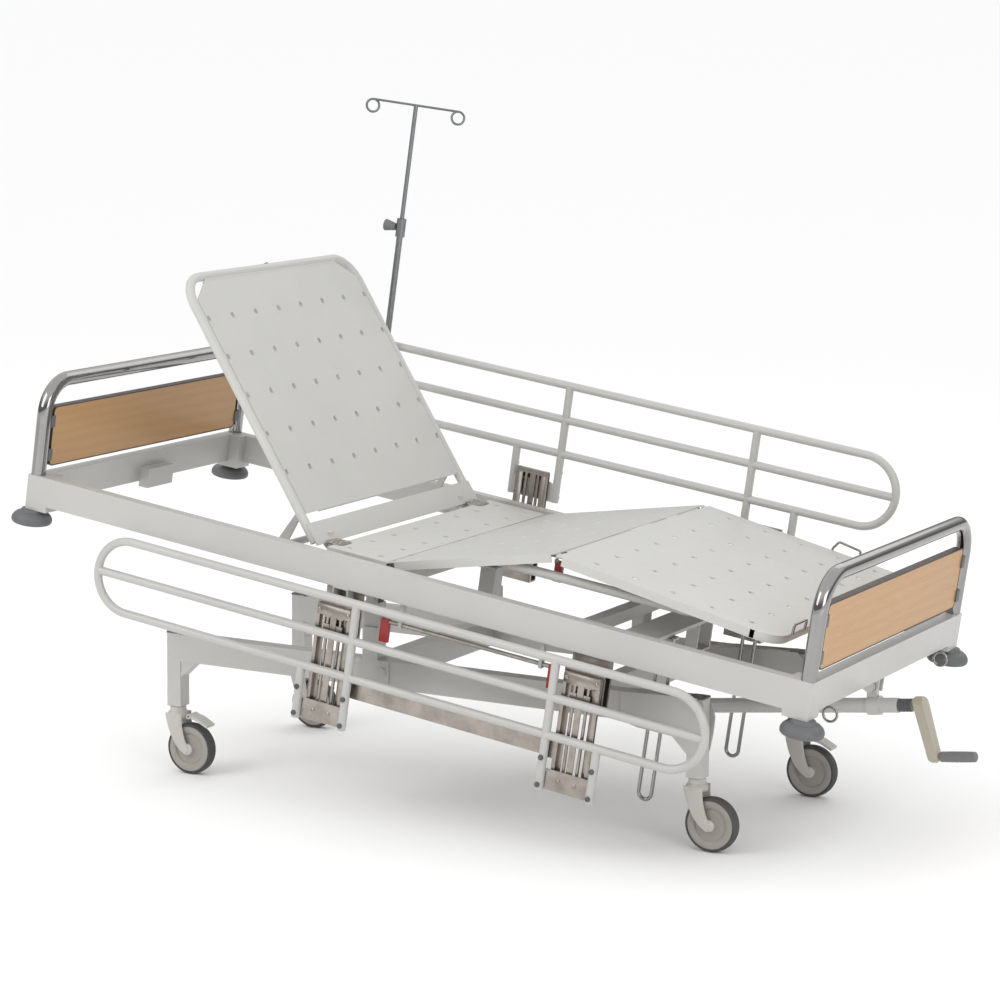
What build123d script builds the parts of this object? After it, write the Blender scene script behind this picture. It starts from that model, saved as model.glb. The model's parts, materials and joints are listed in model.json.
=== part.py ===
from build123d import *
import math
import os

os.makedirs("parts", exist_ok=True)

# ---------------------------------------------------------------- driving dimensions, mm and degrees
CASTOR_MID_X = -89.6        # middle of the four castor stems, from the middle of the whole bed
STEM_X, STEM_Y = 693, 283   # castor stems, half spacings
WHEEL_R, TRAIL = 62.5, 39
LEG_FOOT, LEG_TOP, LEG_W = 165, 345, 38
BEAM_LOW, BEAM_HIGH, BEAM_W = 278, 343, 40
PIVOT_X, PIVOT_Z = -140.6, 491.7  # tilt axis

TILT = 7.8                  # head up at rest
FRAME_X, FRAME_Z = 11.67, 586.94  # middle of the side beams' top faces
FRAME_U, FRAME_V = 1031, 448      # half length and half width of the upper frame
BEAM_H, BEAM_T, CORNER = 70, 30, 60

HOOP_R, HOOP_TOP, HOOP_U, HOOP_V, HOOP_BEND = 17.5, 228, 1014, 430.5, 80

BACK_ANGLE, BACK_LEN, BACK_V = 50.3, 710, 383
BACK_U = -252
BACK_PIN = (-257.6, -12)
ARM_LEN, ARM_DROP = 120, 15       # lift arms: length and how far their shaft sits below the hinge line
THIGH_ANGLE, THIGH_LEN, THIGH_U = 16.0, 442, -57
CALF_ANGLE, CALF_LEN = 5.8, 557
DECK_V, CALF_V, TRAY = 390, 400, 20
HOLE_R, HOLE_PITCH = 7, 101
THIGH_PIN = (-56.3, -5)
KNEE = (366, 119)
KNEE_PIN = (366.5, 113.9)
CALF_FRAME_PIN, CALF_FRAME_W = (215, 61), 61
RATCHET_PIN, RATCHET_TOP = (420, -137), (690, 61)
POST_U = 12

RAIL_V, RAIL_R, RAIL_STEP = 469.5, 10, 87
RAIL_HEAD, RAIL_FOOT = -797, 824
RAIL_TRAVEL = 406
NEAR_TOP = -91
FULL_POSTS, SHORT_POSTS = (-78, 438), (-203, 565)
POST_DROP = 300
LIFT_U = (-140.5, 501.5)    # middle of the two lifting mechanisms
ROD_GAP, ROD_V, ROD_R = 17, 453, 4
SHAFT_V, SHAFT_W = 429, -123

POLE_U, POLE_V = -595, 433
SCREW_PIN = (1003, -96)     # hanger pin, upper frame
SCREW_END = (430, 241)      # rod end, above the floor
CRANK_X, CRANK_Z = 1091, 320
SCREW_ANGLE = math.degrees(math.atan2(CRANK_Z - SCREW_END[1], CRANK_X - SCREW_END[0]))

# ---------------------------------------------------------------- planes
tilt = math.radians(TILT)
U_DIR = Vector(math.cos(tilt), 0, -math.sin(tilt))
V_DIR = Vector(0, 1, 0)
W_DIR = Vector(math.sin(tilt), 0, math.cos(tilt))
base = Plane(origin=(CASTOR_MID_X, 0, 0))
upper = Plane(origin=(CASTOR_MID_X + FRAME_X, 0, FRAME_Z), x_dir=U_DIR, z_dir=W_DIR)


def in_frame(u, v, w):
    """Give the place of a point stated along the upper frame, across it and above it."""
    return upper.from_local_coords(Vector(u, v, w))


def side_plane(v=0, u=0, w=0):
    """A plane in the upper frame seen from the near side: x to the foot, y up."""
    return Plane(origin=in_frame(u, v, w), x_dir=U_DIR, z_dir=V_DIR * -1)


def end_plane(u):
    """A plane across the upper frame: x to the far side, y up, facing the foot."""
    return Plane(origin=in_frame(u, 0, 0), x_dir=V_DIR, z_dir=U_DIR)


def base_side_plane(y):
    """A plane along the base seen from the near side: x to the foot, y up."""
    return Plane(origin=(CASTOR_MID_X, y, 0), x_dir=(1, 0, 0), z_dir=(0, -1, 0))


def sloped_plane(u, w, angle):
    """A deck plane that starts at a point of the upper frame and rises to the foot by an angle."""
    rise = math.radians(angle)
    along = U_DIR * math.cos(rise) + W_DIR * math.sin(rise)
    normal = W_DIR * math.cos(rise) - U_DIR * math.sin(rise)
    return Plane(origin=in_frame(u, 0, w), x_dir=along, z_dir=normal)


lean = math.radians(BACK_ANGLE)
S_DIR = W_DIR * math.sin(lean) - U_DIR * math.cos(lean)
BACK_NORMAL = U_DIR * math.sin(lean) + W_DIR * math.cos(lean)
backrest = Plane(origin=in_frame(BACK_U, 0, 0), x_dir=S_DIR, z_dir=BACK_NORMAL)
thigh = sloped_plane(THIGH_U, 0, THIGH_ANGLE)
calf = sloped_plane(KNEE[0], KNEE[1], -CALF_ANGLE)

screw = math.radians(SCREW_ANGLE)
SCREW_DIR = Vector(math.cos(screw), 0, math.sin(screw))
SCREW_UP = Vector(-math.sin(screw), 0, math.cos(screw))
crank = Plane(origin=(CASTOR_MID_X + CRANK_X, 0, CRANK_Z), x_dir=SCREW_DIR, z_dir=SCREW_UP)

TURN = {"x": (0, 90, 0), "y": (90, 0, 0), "z": (0, 0, 0)}


# ---------------------------------------------------------------- shapes used many times
def bar(low, high, wall=0, along=0):
    """Add a rectangular bar between two corners; a wall makes it a tube that is open along one axis."""
    size = [b - a for a, b in zip(low, high)]
    middle = tuple((a + b) / 2 for a, b in zip(low, high))
    with Locations(middle):
        Box(*size)
        if wall:
            inner = [s - 2 * wall for s in size]
            inner[along] = size[along]
            Box(*inner, mode=Mode.SUBTRACT)


def round_bar(centre, axis, radius, length, bore=0):
    """Add a cylinder centred on a point along an axis, with a bore through it if one is stated."""
    with Locations(centre):
        Cylinder(radius, length, rotation=TURN[axis])
        if bore:
            Cylinder(bore, length, rotation=TURN[axis], mode=Mode.SUBTRACT)


def drill(centre, axis, radius, length):
    """Cut a round hole centred on a point along an axis."""
    with Locations(centre):
        Cylinder(radius, length, rotation=TURN[axis], mode=Mode.SUBTRACT)


def bent_tube(plane, points, bend, radius, bore=0):
    """Add a round tube along a bent line stated in the plane's own axes."""
    with BuildLine(plane) as path:
        FilletPolyline(*points, radius=bend)
    wire = path.wires()[0]
    with BuildSketch(Plane(origin=wire @ 0, z_dir=wire % 0)) as section:
        Circle(radius)
        if bore:
            Circle(bore, mode=Mode.SUBTRACT)
    sweep(section.sketch, path=wire)


def cheek(plane, points, thickness, round_r=0):
    """Add a flat plate with the given outline, centred on the plane."""
    with BuildSketch(plane) as outline:
        with BuildLine():
            Polyline(*points, close=True)
        make_face()
        if round_r:
            fillet(outline.vertices(), round_r)
    extrude(outline.sketch, amount=thickness / 2, both=True)


def link_plate(plane, ends, thickness):
    """Add a plate whose outline wraps circles given as (x, y, radius), centred on the plane."""
    with BuildSketch(plane) as outline:
        for x, y, r in ends:
            with Locations((x, y)):
                Circle(r)
        make_hull()
    extrude(outline.sketch, amount=thickness / 2, both=True)


def tray(plane, x0, x1, half_width, holes, corner=0, skirt0=0, skirt1=0):
    """Add a pressed deck sheet: a 2 mm top with folded side skirts and round holes."""
    with BuildSketch(plane.offset(-2)) as top:
        with BuildLine():
            Polyline((x0, -half_width), (x1, -half_width), (x1, half_width), (x0, half_width), close=True)
        make_face()
        if corner:
            fillet(top.vertices().sort_by(Axis.X)[-2:], corner)
        with Locations(*holes):
            Circle(HOLE_R, mode=Mode.SUBTRACT)
    extrude(top.sketch, amount=2)
    for v in (-half_width, half_width - 2):
        with BuildSketch(plane.offset(-TRAY)) as skirt:
            with Locations(((x0 + skirt0 + x1 - skirt1) / 2, v + 1)):
                Rectangle(x1 - skirt1 - x0 - skirt0, 2)
        extrude(skirt.sketch, amount=TRAY)


def hole_grid(xs, count, pitch):
    """Rows of holes across the deck, centred on the middle line."""
    return [(x, (i - (count - 1) / 2) * pitch) for x in xs for i in range(count)]


# ---------------------------------------------------------------- castor base
with BuildPart(base) as base_frame:
    for side in (-1, 1):
        y = side * STEM_Y
        bar((-STEM_X + 19, y - 20, BEAM_LOW), (STEM_X - 19, y + 20, BEAM_HIGH), wall=2.5, along=0)
        for x in (-STEM_X, STEM_X):
            bar((x - 19, y - 19, LEG_FOOT), (x + 19, y + 19, LEG_TOP), wall=2.5, along=2)
            bar((x - 17, y - 17, LEG_FOOT), (x + 17, y + 17, LEG_FOOT + 40))
            drill((x, y, LEG_FOOT + 20), "z", 8.5, 40)
        cheek(base_side_plane(y), [(-674, 279), (-674, 238), (-630, 279)], 34)
        for face in (-21.5, 21.5):
            outline = [(511, 343), (696, 349), (716, 330), (724, 300), (720, 262), (712, 221),
                       (674, 221), (640, 256), (552, 266), (511, 278)]
            cheek(base_side_plane(y + face), outline, 3, 4)
    for x in (-140.6, 420):
        bar((x - 20, -STEM_Y + 20, BEAM_LOW), (x + 20, STEM_Y - 20, BEAM_HIGH), wall=2.5, along=1)
    for y in (-13, 13):
        cheek(base_side_plane(y), [(396, 279), (464, 279), (460, 220), (440, 212), (400, 212)], 6)
        with BuildSketch(base_side_plane(y)) as slot:
            with Locations((427, 243)):
                SlotOverall(44, 17, rotation=-34)
        extrude(slot.sketch, amount=4, both=True, mode=Mode.SUBTRACT)

with BuildPart(base) as tilt_pivot_posts:
    for side in (-1, 1):
        y = side * STEM_Y
        bar((PIVOT_X - 20, y - 17, BEAM_HIGH), (PIVOT_X + 20, y + 17, PIVOT_Z - 15), wall=2.5, along=2)
        for face in (-14, 14):
            link_plate(base_side_plane(y + face),
                       [(PIVOT_X, PIVOT_Z, 12), (PIVOT_X - 15, PIVOT_Z - 30, 4), (PIVOT_X + 15, PIVOT_Z - 30, 4)], 6)
        bar((-160, y + side * 20 - 4 * (side < 0), 285), (-90, y + side * 20 + 4 * (side > 0), 343))
        bar((-160, y + side * 17 - 7 * (side < 0), 343), (-120, y + side * 17 + 7 * (side > 0), 420))
        round_bar((-105, y + side * 27, 318), "y", 8, 6)
        round_bar((PIVOT_X, y, PIVOT_Z), "y", 7, 44)
        round_bar((PIVOT_X, y + side * 20, PIVOT_Z), "y", 11, 5)

with BuildPart(base) as leg_caps:
    for x in (-STEM_X, STEM_X):
        for y in (-STEM_Y, STEM_Y):
            bar((x - 20, y - 20, LEG_TOP), (x + 20, y + 20, LEG_TOP + 5))
    fillet(leg_caps.faces().filter_by(Axis.Z).group_by(Axis.Z)[-1].edges(), 3)


def castor_fork(x, y):
    """The swivelling housing of one castor with its stem, two cheeks and axle."""
    axle = (x + TRAIL, WHEEL_R)
    with BuildPart(base) as fork:
        round_bar((x, y, LEG_FOOT + 17), "z", 8, 36)
        round_bar((x, y, 157), "z", 24, 14)
        bar((x - 24, y - 24, 134), (x + 28, y + 24, 150))
        for face in (-21.5, 21.5):
            link_plate(base_side_plane(y + face),
                       [(x - 14, 140, 10), (x + 40, 143, 8), (axle[0], axle[1], 13)], 5)
        round_bar((axle[0], y, axle[1]), "y", 6, 54)
    return fork


def castor_wheel(x, y):
    """The wheel body of one castor: a disc with a recess on each face and a bore for the axle."""
    axle = (x + TRAIL, y, WHEEL_R)
    with BuildPart(base) as wheel:
        round_bar(axle, "y", 50, 30)
        for face in (-13, 13):
            with Locations((axle[0], axle[1] + face, axle[2])):
                Cylinder(42, 4, rotation=TURN["y"], mode=Mode.SUBTRACT)
        round_bar(axle, "y", 14, 34)
        drill(axle, "y", 6.5, 40)
    return wheel


def castor_tyre(x, y):
    """The rubber tread of one castor."""
    with BuildPart(base) as tyre:
        with Locations((x + TRAIL, y, WHEEL_R)):
            Cylinder(WHEEL_R, 30, rotation=TURN["y"])
        fillet(tyre.edges(), 7)
        drill((x + TRAIL, y, WHEEL_R), "y", 50, 40)
    return tyre


def brake_pedal(x, y):
    """A foot pedal hinged at the top of a castor housing, above the tyre."""
    with BuildPart(base) as pedal:
        round_bar((x + 40, y, 143), "y", 6, 36)
        cheek(base_side_plane(y), [(x + 40, 148), (x + 66, 141), (x + 94, 126), (x + 92, 120),
                                   (x + 64, 134), (x + 40, 140)], 34)
        drill((x + 40, y, 143), "y", 3, 40)
    return pedal


castors = {"nh": (-STEM_X, -STEM_Y), "fh": (-STEM_X, STEM_Y), "nf": (STEM_X, -STEM_Y), "ff": (STEM_X, STEM_Y)}
forks = {name: castor_fork(*place) for name, place in castors.items()}
wheels = {name: castor_wheel(*place) for name, place in castors.items()}
tyres = {name: castor_tyre(*place) for name, place in castors.items()}
pedals = {name: brake_pedal(*castors[name]) for name in ("nh", "ff")}
for name in pedals:
    with BuildPart(base) as pedal_pin:
        round_bar((castors[name][0] + 40, castors[name][1], 143), "y", 2.5, 48)
    forks[name].part += pedal_pin.part


# ---------------------------------------------------------------- upper frame
def side_beam(side):
    """One long beam of the upper frame with the two hangers of the rail release shaft."""
    with BuildPart(upper) as beam:
        low, high = sorted((side * (FRAME_V - BEAM_T), side * FRAME_V))
        bar((CORNER - FRAME_U, low, -BEAM_H), (FRAME_U - CORNER, high, 0), wall=3, along=0)
        for u in (20, 383):
            bar((u - 4, side * SHAFT_V - 7, -132), (u + 4, side * SHAFT_V + 7, -BEAM_H))
            drill((u, side * SHAFT_V, SHAFT_W), "x", 5.4, 12)
    return beam


def end_beam(end):
    """One end beam of the upper frame with its two corner blocks."""
    with BuildPart(upper) as beam:
        low, high = sorted((end * (FRAME_U - BEAM_T), end * FRAME_U))
        bar((low, CORNER - FRAME_V, -BEAM_H), (high, FRAME_V - CORNER, 0), wall=3, along=1)
        low, high = sorted((end * (FRAME_U - CORNER), end * FRAME_U))
        for side in (-1, 1):
            v0, v1 = sorted((side * (FRAME_V - CORNER), side * FRAME_V))
            bar((low, v0, -85), (high, v1, 0))
        if end < 0:
            bar((-1001, -16, -83), (-975, 95, -34))
        else:
            for v in (-13, 13):
                bar((985, v - 3, -109), (1021, v + 3, -BEAM_H))
            round_bar((SCREW_PIN[0], 0, SCREW_PIN[1]), "y", 5, 36)
            round_bar((SCREW_PIN[0], -23, SCREW_PIN[1]), "y", 12.5, 14)
    return beam


side_beam_near = side_beam(-1)
side_beam_far = side_beam(1)
end_beam_head = end_beam(-1)
end_beam_foot = end_beam(1)

inner_v = FRAME_V - BEAM_T
with BuildPart(upper) as cross_members:
    for u0, u1, w0, w1 in ((-215, -180, -55, -20), (-92, -62, -55, -20), (400, 430, -70, -40)):
        bar((u0, -inner_v, w0), (u1, inner_v, w1), wall=3, along=1)
    for side in (-1, 1):
        v0, v1 = sorted((side * 34, side * inner_v))
        bar((522, v0, -38), (605, v1, -30))
        v0, v1 = sorted((side * 34, side * 40))
        bar((550, v0, -125), (580, v1, -38))
    bar((550, -40, -125), (580, 40, -119))
    bar((-158, -FRAME_V, -100), (-118, FRAME_V, -BEAM_H), wall=3, along=1)
    for v in (-STEM_Y, STEM_Y):
        link_plate(side_plane(v), [(-137.9, -115, 12), (-150, -98, 4), (-126, -98, 4)], 20)
        drill((-137.9, v, -115), "y", 7.6, 24)
    for v in (-330, -290, 290, 330):
        link_plate(side_plane(v), [(BACK_PIN[0], BACK_PIN[1], 6), (-212, -44, 4), (-212, -28, 4)], 6)
    for v in (-310, 310):
        round_bar((BACK_PIN[0], v, BACK_PIN[1]), "y", 4, 50)
    for v in (-22, 22):
        link_plate(side_plane(v), [(RATCHET_PIN[0], RATCHET_PIN[1], 12), (404, -66, 3), (426, -66, 3)], 5)
    round_bar((RATCHET_PIN[0], 0, RATCHET_PIN[1]), "y", 6, 54)

with BuildPart(upper) as corner_bumpers:
    for u in (-1018, 1018):
        for v in (-434, 434):
            round_bar((u, v, -107), "z", 49, 32)
    fillet(corner_bumpers.edges(), 13)
    for u in (-1010, 1010):
        for v in (-426, 426):
            round_bar((u, v, -93), "z", 20, 16)


def hoop(u):
    """A chromed bow on the corner blocks of one frame end."""
    with BuildPart() as bow:
        points = [(-HOOP_V, 0), (-HOOP_V, HOOP_TOP), (HOOP_V, HOOP_TOP), (HOOP_V, 0)]
        bent_tube(end_plane(u), points, HOOP_BEND, HOOP_R, HOOP_R - 2)
    return bow


def end_panel(u):
    """A flat board that fills the lower part of a bow."""
    with BuildPart() as board:
        with BuildSketch(end_plane(u)) as outline:
            with Locations((0, 92)):
                Rectangle(810, 146)
            fillet(outline.vertices(), 14)
        extrude(outline.sketch, amount=9, both=True)
    return board


head_hoop = hoop(-HOOP_U)
foot_hoop = hoop(HOOP_U)
head_panel = end_panel(-HOOP_U)
foot_panel = end_panel(HOOP_U)

with BuildPart(upper) as panel_clips:
    for u in (-HOOP_U, HOOP_U):
        for v in (-409, 409):
            for w in (48, 130):
                bar((u - 13, v - 8, w - 14), (u + 13, v + 8, w + 14))
with BuildPart(upper) as clip_room:
    for u in (-HOOP_U, HOOP_U):
        bar((u - 9, -405, 19), (u + 9, 405, 165))
        for v in (-HOOP_V, HOOP_V):
            round_bar((u, v, 75), "z", HOOP_R, 150)
panel_clips.part -= clip_room.part

with BuildPart(upper) as rail_brackets:
    for side in (-1, 1):
        for u in LIFT_U:
            v0, v1 = sorted((side * (inner_v - 3), side * inner_v))
            bar((u - 50, v0, -190), (u + 50, v1, -10))
            v0, v1 = sorted((side * inner_v, side * FRAME_V))
            bar((u - 50, v0, -190), (u + 50, v1, -102), wall=4, along=0)
            for w in (-135, -165):
                for gap in (-ROD_GAP, ROD_GAP):
                    v0, v1 = sorted((side * FRAME_V, side * 458.5))
                    bar((u + gap - 8, v0, w - 7), (u + gap + 8, v1, w + 7))
                    drill((u + gap, side * ROD_V, w), "z", ROD_R + 0.4, 20)

rail_brackets.part -= cross_members.part

with BuildPart(upper) as bag_hooks:
    for v in (-238, 238):
        bent_tube(side_plane(v, 593), [(-14, -42), (-14, -426), (14, -426), (14, -42)], 12, 3.5)
        bar((573, v - 8, -44), (613, v + 8, -38))

with BuildPart() as corner_rings:
    for v in (-331, 331):
        with Locations(Location(Plane(origin=in_frame(1036, v, -90), x_dir=U_DIR, z_dir=V_DIR))):
            Torus(16, 3)

# ---------------------------------------------------------------- seat, backrest, thigh and calf
with BuildPart(upper) as seat_section:
    rows = hole_grid((-180, -96), 8, HOLE_PITCH)
    tray(upper, -219, -60, DECK_V, rows)
    for v in (-300, 0, 300):
        for end in (-38, 38):
            round_bar((THIGH_PIN[0], v + end, THIGH_PIN[1]), "y", 4, 14)
            bar((-66, v + end - 7, -9), (THIGH_PIN[0], v + end + 7, -5))
        round_bar((THIGH_PIN[0], v, THIGH_PIN[1]), "y", 2.2, 90)

with BuildPart(upper) as thigh_post:
    bar((POST_U - 20, -20, -140), (POST_U + 20, 20, -58), wall=3, along=2)
    bar((-62, -14, -52), (POST_U - 20, 14, -40))
    bar((POST_U - 24, -24, -58), (POST_U + 24, 24, -52))
    drill((POST_U, 0, -55), "z", 12.5, 12)
    bar((POST_U - 26, -14, -58), (POST_U - 20, 14, -40))

with BuildPart(upper) as thigh_lift_rod:
    round_bar((POST_U, 0, -62), "z", 12, 130)
    round_bar((POST_U, 0, 9), "y", 8, 60)

with BuildPart(backrest) as backrest_frame:
    outline = [(4, -372), (699, -372), (699, 372), (4, 372)]
    bent_tube(backrest.offset(-11), outline, 70, 11, 9)
    bar((-6, -BACK_V, -4), (50, BACK_V, 0))
    for v in (-310, 310):
        link_plate(side_plane(v), [(BACK_PIN[0], BACK_PIN[1], 8), (-268, 4, 4), (-262, 12, 3)], 22)
        drill(backrest.to_local_coords(in_frame(BACK_PIN[0], v, BACK_PIN[1])), "y", 4.4, 30)

with BuildPart(backrest) as backrest_sheet:
    with BuildSketch(backrest.offset(-6)) as sheet:
        with BuildLine():
            Polyline((75, -361), (640, -361), (687, -293), (687, 293), (640, 361), (75, 361), close=True)
        make_face()
        with Locations(*hole_grid((184, 285.5, 387, 488.5, 590), 8, HOLE_PITCH)):
            Circle(HOLE_R, mode=Mode.SUBTRACT)
    extrude(sheet.sketch, amount=2)
    for s in (76, 685):
        bar((s - 1, -290, -16), (s + 1, 290, -6))

hinge_drop = math.radians(ARM_DROP)
SHAFT = (BACK_PIN[0] - ARM_LEN * math.cos(hinge_drop), BACK_PIN[1] - ARM_LEN * math.sin(hinge_drop))
reach = 2 * ARM_LEN * math.cos(lean + hinge_drop)
ARM_TIP = (BACK_PIN[0] - reach * math.cos(lean), BACK_PIN[1] + reach * math.sin(lean))
with BuildPart(upper) as backrest_lift_arms:
    round_bar((SHAFT[0], 0, SHAFT[1]), "y", 9, 2 * inner_v - 1)
    for v in (-344, 344):
        link_plate(side_plane(v), [(SHAFT[0], SHAFT[1], 13), (ARM_TIP[0], ARM_TIP[1], 5)], 8)
        round_bar((ARM_TIP[0], v, ARM_TIP[1]), "y", 5, 24)

with BuildPart(thigh) as thigh_section:
    rows = hole_grid((74, 170, 264, 358), 8, HOLE_PITCH)
    tray(thigh, 3, THIGH_LEN - 5, DECK_V, rows, skirt0=14, skirt1=14)
with BuildPart(upper) as thigh_knuckles:
    for v in (-300, 0, 300):
        round_bar((THIGH_PIN[0], v, THIGH_PIN[1]), "y", 4, 58, 2.7)
        for end in (-38, 38):
            round_bar((KNEE_PIN[0], v + end, KNEE_PIN[1]), "y", 4, 14)
        round_bar((KNEE_PIN[0], v, KNEE_PIN[1]), "y", 2.2, 90)
thigh_section.part += thigh_knuckles.part

with BuildPart(calf) as calf_section:
    rows = hole_grid((83, 180, 277, 374, 471), 8, HOLE_PITCH)
    tray(calf, 5, CALF_LEN, CALF_V, rows, corner=55, skirt0=14, skirt1=58)
with BuildPart(upper) as calf_knuckles:
    for v in (-300, 0, 300):
        round_bar((KNEE_PIN[0], v, KNEE_PIN[1]), "y", 4, 58, 2.7)
calf_section.part += calf_knuckles.part

with BuildPart(upper) as calf_support_frame:
    head, foot = CALF_FRAME_PIN[0], 714
    outline = [(head + 22, -360), (foot, -360), (foot, 360), (head + 22, 360)]
    bent_tube(upper.offset(CALF_FRAME_W), outline, 40, 11, 9)
    for v in (-360, 360):
        link_plate(side_plane(v), [(head, CALF_FRAME_W, 8), (head + 30, CALF_FRAME_W, 7)], 12)
        drill((head, v, CALF_FRAME_W), "y", 4.4, 20)
    for v in (-20, 20):
        link_plate(side_plane(v), [(RATCHET_TOP[0] - 2, 50, 17), (704, 61, 8)], 5)
        drill((RATCHET_TOP[0] - 2, v, 50), "y", 12, 20)

with BuildPart(upper) as thigh_ears:
    for v in (-370, -350, 350, 370):
        link_plate(side_plane(v), [(CALF_FRAME_PIN[0], CALF_FRAME_W, 7), (206, 69, 4), (221, 73, 4)], 5)
    for v in (-360, 360):
        round_bar((CALF_FRAME_PIN[0], v, CALF_FRAME_PIN[1]), "y", 4, 26)
thigh_section.part += thigh_ears.part

with BuildPart(calf) as mattress_retainers:
    bent_tube(Plane(origin=calf.from_local_coords(Vector(0, CALF_V + 3.2, 0)), x_dir=calf.x_dir, z_dir=V_DIR * -1),
              [(338, -12), (338, 4), (350, 24), (408, 20), (408, -12)], 5, 3)
    bent_tube(Plane(origin=calf.from_local_coords(Vector(CALF_LEN + 3.2, 0, 0)), x_dir=V_DIR, z_dir=calf.x_dir),
              [(-335, -1), (-335, 22), (-268, 22), (-268, -1)], 6, 3)

run = Vector(RATCHET_TOP[0] - 2 - RATCHET_PIN[0], 50 - RATCHET_PIN[1])
ratchet_len = run.length
ratchet_rise = math.degrees(math.atan2(run.Y, run.X))
ratchet = sloped_plane(RATCHET_PIN[0], RATCHET_PIN[1], ratchet_rise)
with BuildPart(ratchet) as ratchet_outer:
    round_bar((0, 0, 0), "y", 11, 34, 6.4)
    bar((9, -12, -11), (178, 12, 11))
    bar((140, -17, -17), (176, 17, 17))
with BuildPart(ratchet) as ratchet_bore:
    bar((20, -9, -9.5), (190, 9, 8))
ratchet_outer.part -= ratchet_bore.part
with BuildPart(ratchet) as ratchet_inner:
    bar((64, -8.5, -7.5), (ratchet_len - 8, 8.5, 7.5))
    round_bar((ratchet_len, 0, 0), "y", 10, 28)
    round_bar((ratchet_len, 0, 0), "y", 6, 56)
    for x in range(90, int(ratchet_len) - 40, 12):
        bar((x, -8.5, -9), (x + 5, 8.5, -6))


# ---------------------------------------------------------------- side rails
def rail(side, top):
    """One guard rail: a long loop, its middle bar, four posts and the plate between each pair."""
    low = top - 2 * RAIL_STEP
    v = side * RAIL_V
    bottom = top - POST_DROP
    with BuildPart(upper) as guard:
        middle = (RAIL_HEAD + RAIL_FOOT) / 2
        head = RAIL_HEAD + RAIL_R + RAIL_STEP
        foot = RAIL_FOOT - RAIL_R - RAIL_STEP
        for w in (top, low):
            round_bar(((head + foot) / 2, v, w), "x", RAIL_R, foot - head)
        for u, reach in ((head, -RAIL_STEP), (foot, RAIL_STEP)):
            with BuildLine(side_plane(v)) as bend:
                ThreePointArc((u, top), (u + reach, top - RAIL_STEP), (u, low))
            wire = bend.wires()[0]
            with BuildSketch(Plane(origin=wire @ 0, z_dir=wire % 0)) as section:
                Circle(RAIL_R)
            sweep(section.sketch, path=wire)
        length = RAIL_FOOT - RAIL_HEAD - 3 * RAIL_R
        round_bar((middle, v, top - RAIL_STEP), "x", RAIL_R, length)
        for u in FULL_POSTS:
            round_bar((u, v, (top + bottom) / 2), "z", RAIL_R, top - bottom)
        for u in SHORT_POSTS:
            round_bar((u, v, (low + bottom) / 2), "z", RAIL_R, low - bottom)
        v0, v1 = sorted((side * 460, side * 464))
        for u in LIFT_U:
            bar((u - 60, v0, bottom + 1), (u + 60, v1, bottom + 48))
        for u in FULL_POSTS + SHORT_POSTS:
            for rise in (12, 75):
                round_bar((u, side * 480, bottom + rise), "y", 6, 3)
    return guard


def rail_sliders(side, top):
    """The plastic blocks on the bottom plates of one guard rail."""
    bottom = top - POST_DROP
    with BuildPart(upper) as blocks:
        v0, v1 = sorted((side * 450.5, side * 460))
        for u in LIFT_U:
            for gap in (-31, 31):
                bar((u + gap - 4.5, v0, bottom + 14), (u + gap + 4.5, v1, bottom + 46))
    return blocks


def carriage(side, top):
    """The part between frame and guard rail: two guide rods and two strips per mechanism, and a link."""
    bottom = top - POST_DROP
    with BuildPart(upper) as frame:
        v0, v1 = sorted((side * 449, side * 458.5))
        for u in LIFT_U:
            for w in (bottom, bottom + 266):
                bar((u - 45, v0, w), (u + 45, v1, w + 12))
            for gap in (-ROD_GAP, ROD_GAP):
                round_bar((u + gap, side * ROD_V, bottom + 139), "z", ROD_R, 266)
            for gap in (-40, 40):
                bar((u + gap - 3, v0, bottom), (u + gap + 3, v1, bottom + 278))
        bar((LIFT_U[0] + 40, v0, bottom + 73), (LIFT_U[0] + 62, v1, bottom + 113))
        bar((LIFT_U[1] - 62, v0, bottom + 73), (LIFT_U[1] - 40, v1, bottom + 113))
        v0, v1 = sorted((side * 438, side * 449))
        bar((LIFT_U[0] + 52, v0, bottom + 73), (LIFT_U[1] - 52, v1, bottom + 113))
    return frame


def release_shaft(side):
    """The thin turning shaft under one side beam."""
    with BuildPart(upper) as shaft:
        round_bar((197, side * SHAFT_V, SHAFT_W), "x", 5, 460)
    return shaft


def release_levers(side):
    """The two hand levers on one release shaft."""
    with BuildPart(upper) as levers:
        for u in (-20, 415):
            bar((u - 11, side * SHAFT_V - 5, -172), (u + 11, side * SHAFT_V + 5, -118))
            drill((u, side * SHAFT_V, SHAFT_W), "x", 5, 30)
    return levers


near_rail = rail(-1, NEAR_TOP)
far_rail = rail(1, NEAR_TOP + RAIL_TRAVEL)
near_rail_sliders = rail_sliders(-1, NEAR_TOP)
far_rail_sliders = rail_sliders(1, NEAR_TOP + RAIL_TRAVEL)
near_carriage = carriage(-1, NEAR_TOP)
far_carriage = carriage(1, NEAR_TOP + RAIL_TRAVEL / 2)
near_release_shaft = release_shaft(-1)
far_release_shaft = release_shaft(1)
near_release_levers = release_levers(-1)
far_release_levers = release_levers(1)

# ---------------------------------------------------------------- drip pole
with BuildPart(upper) as pole_tube:
    round_bar((POLE_U, POLE_V, 20), "z", 13, 40)
    round_bar((POLE_U, POLE_V, 320), "z", 8, 560)
    round_bar((POLE_U, POLE_V, 623), "z", 12, 46)
    drill((POLE_U, POLE_V, 343), "z", 6, 607)
    drill((POLE_U - 12, POLE_V, 623), "x", 3.2, 20)

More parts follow.
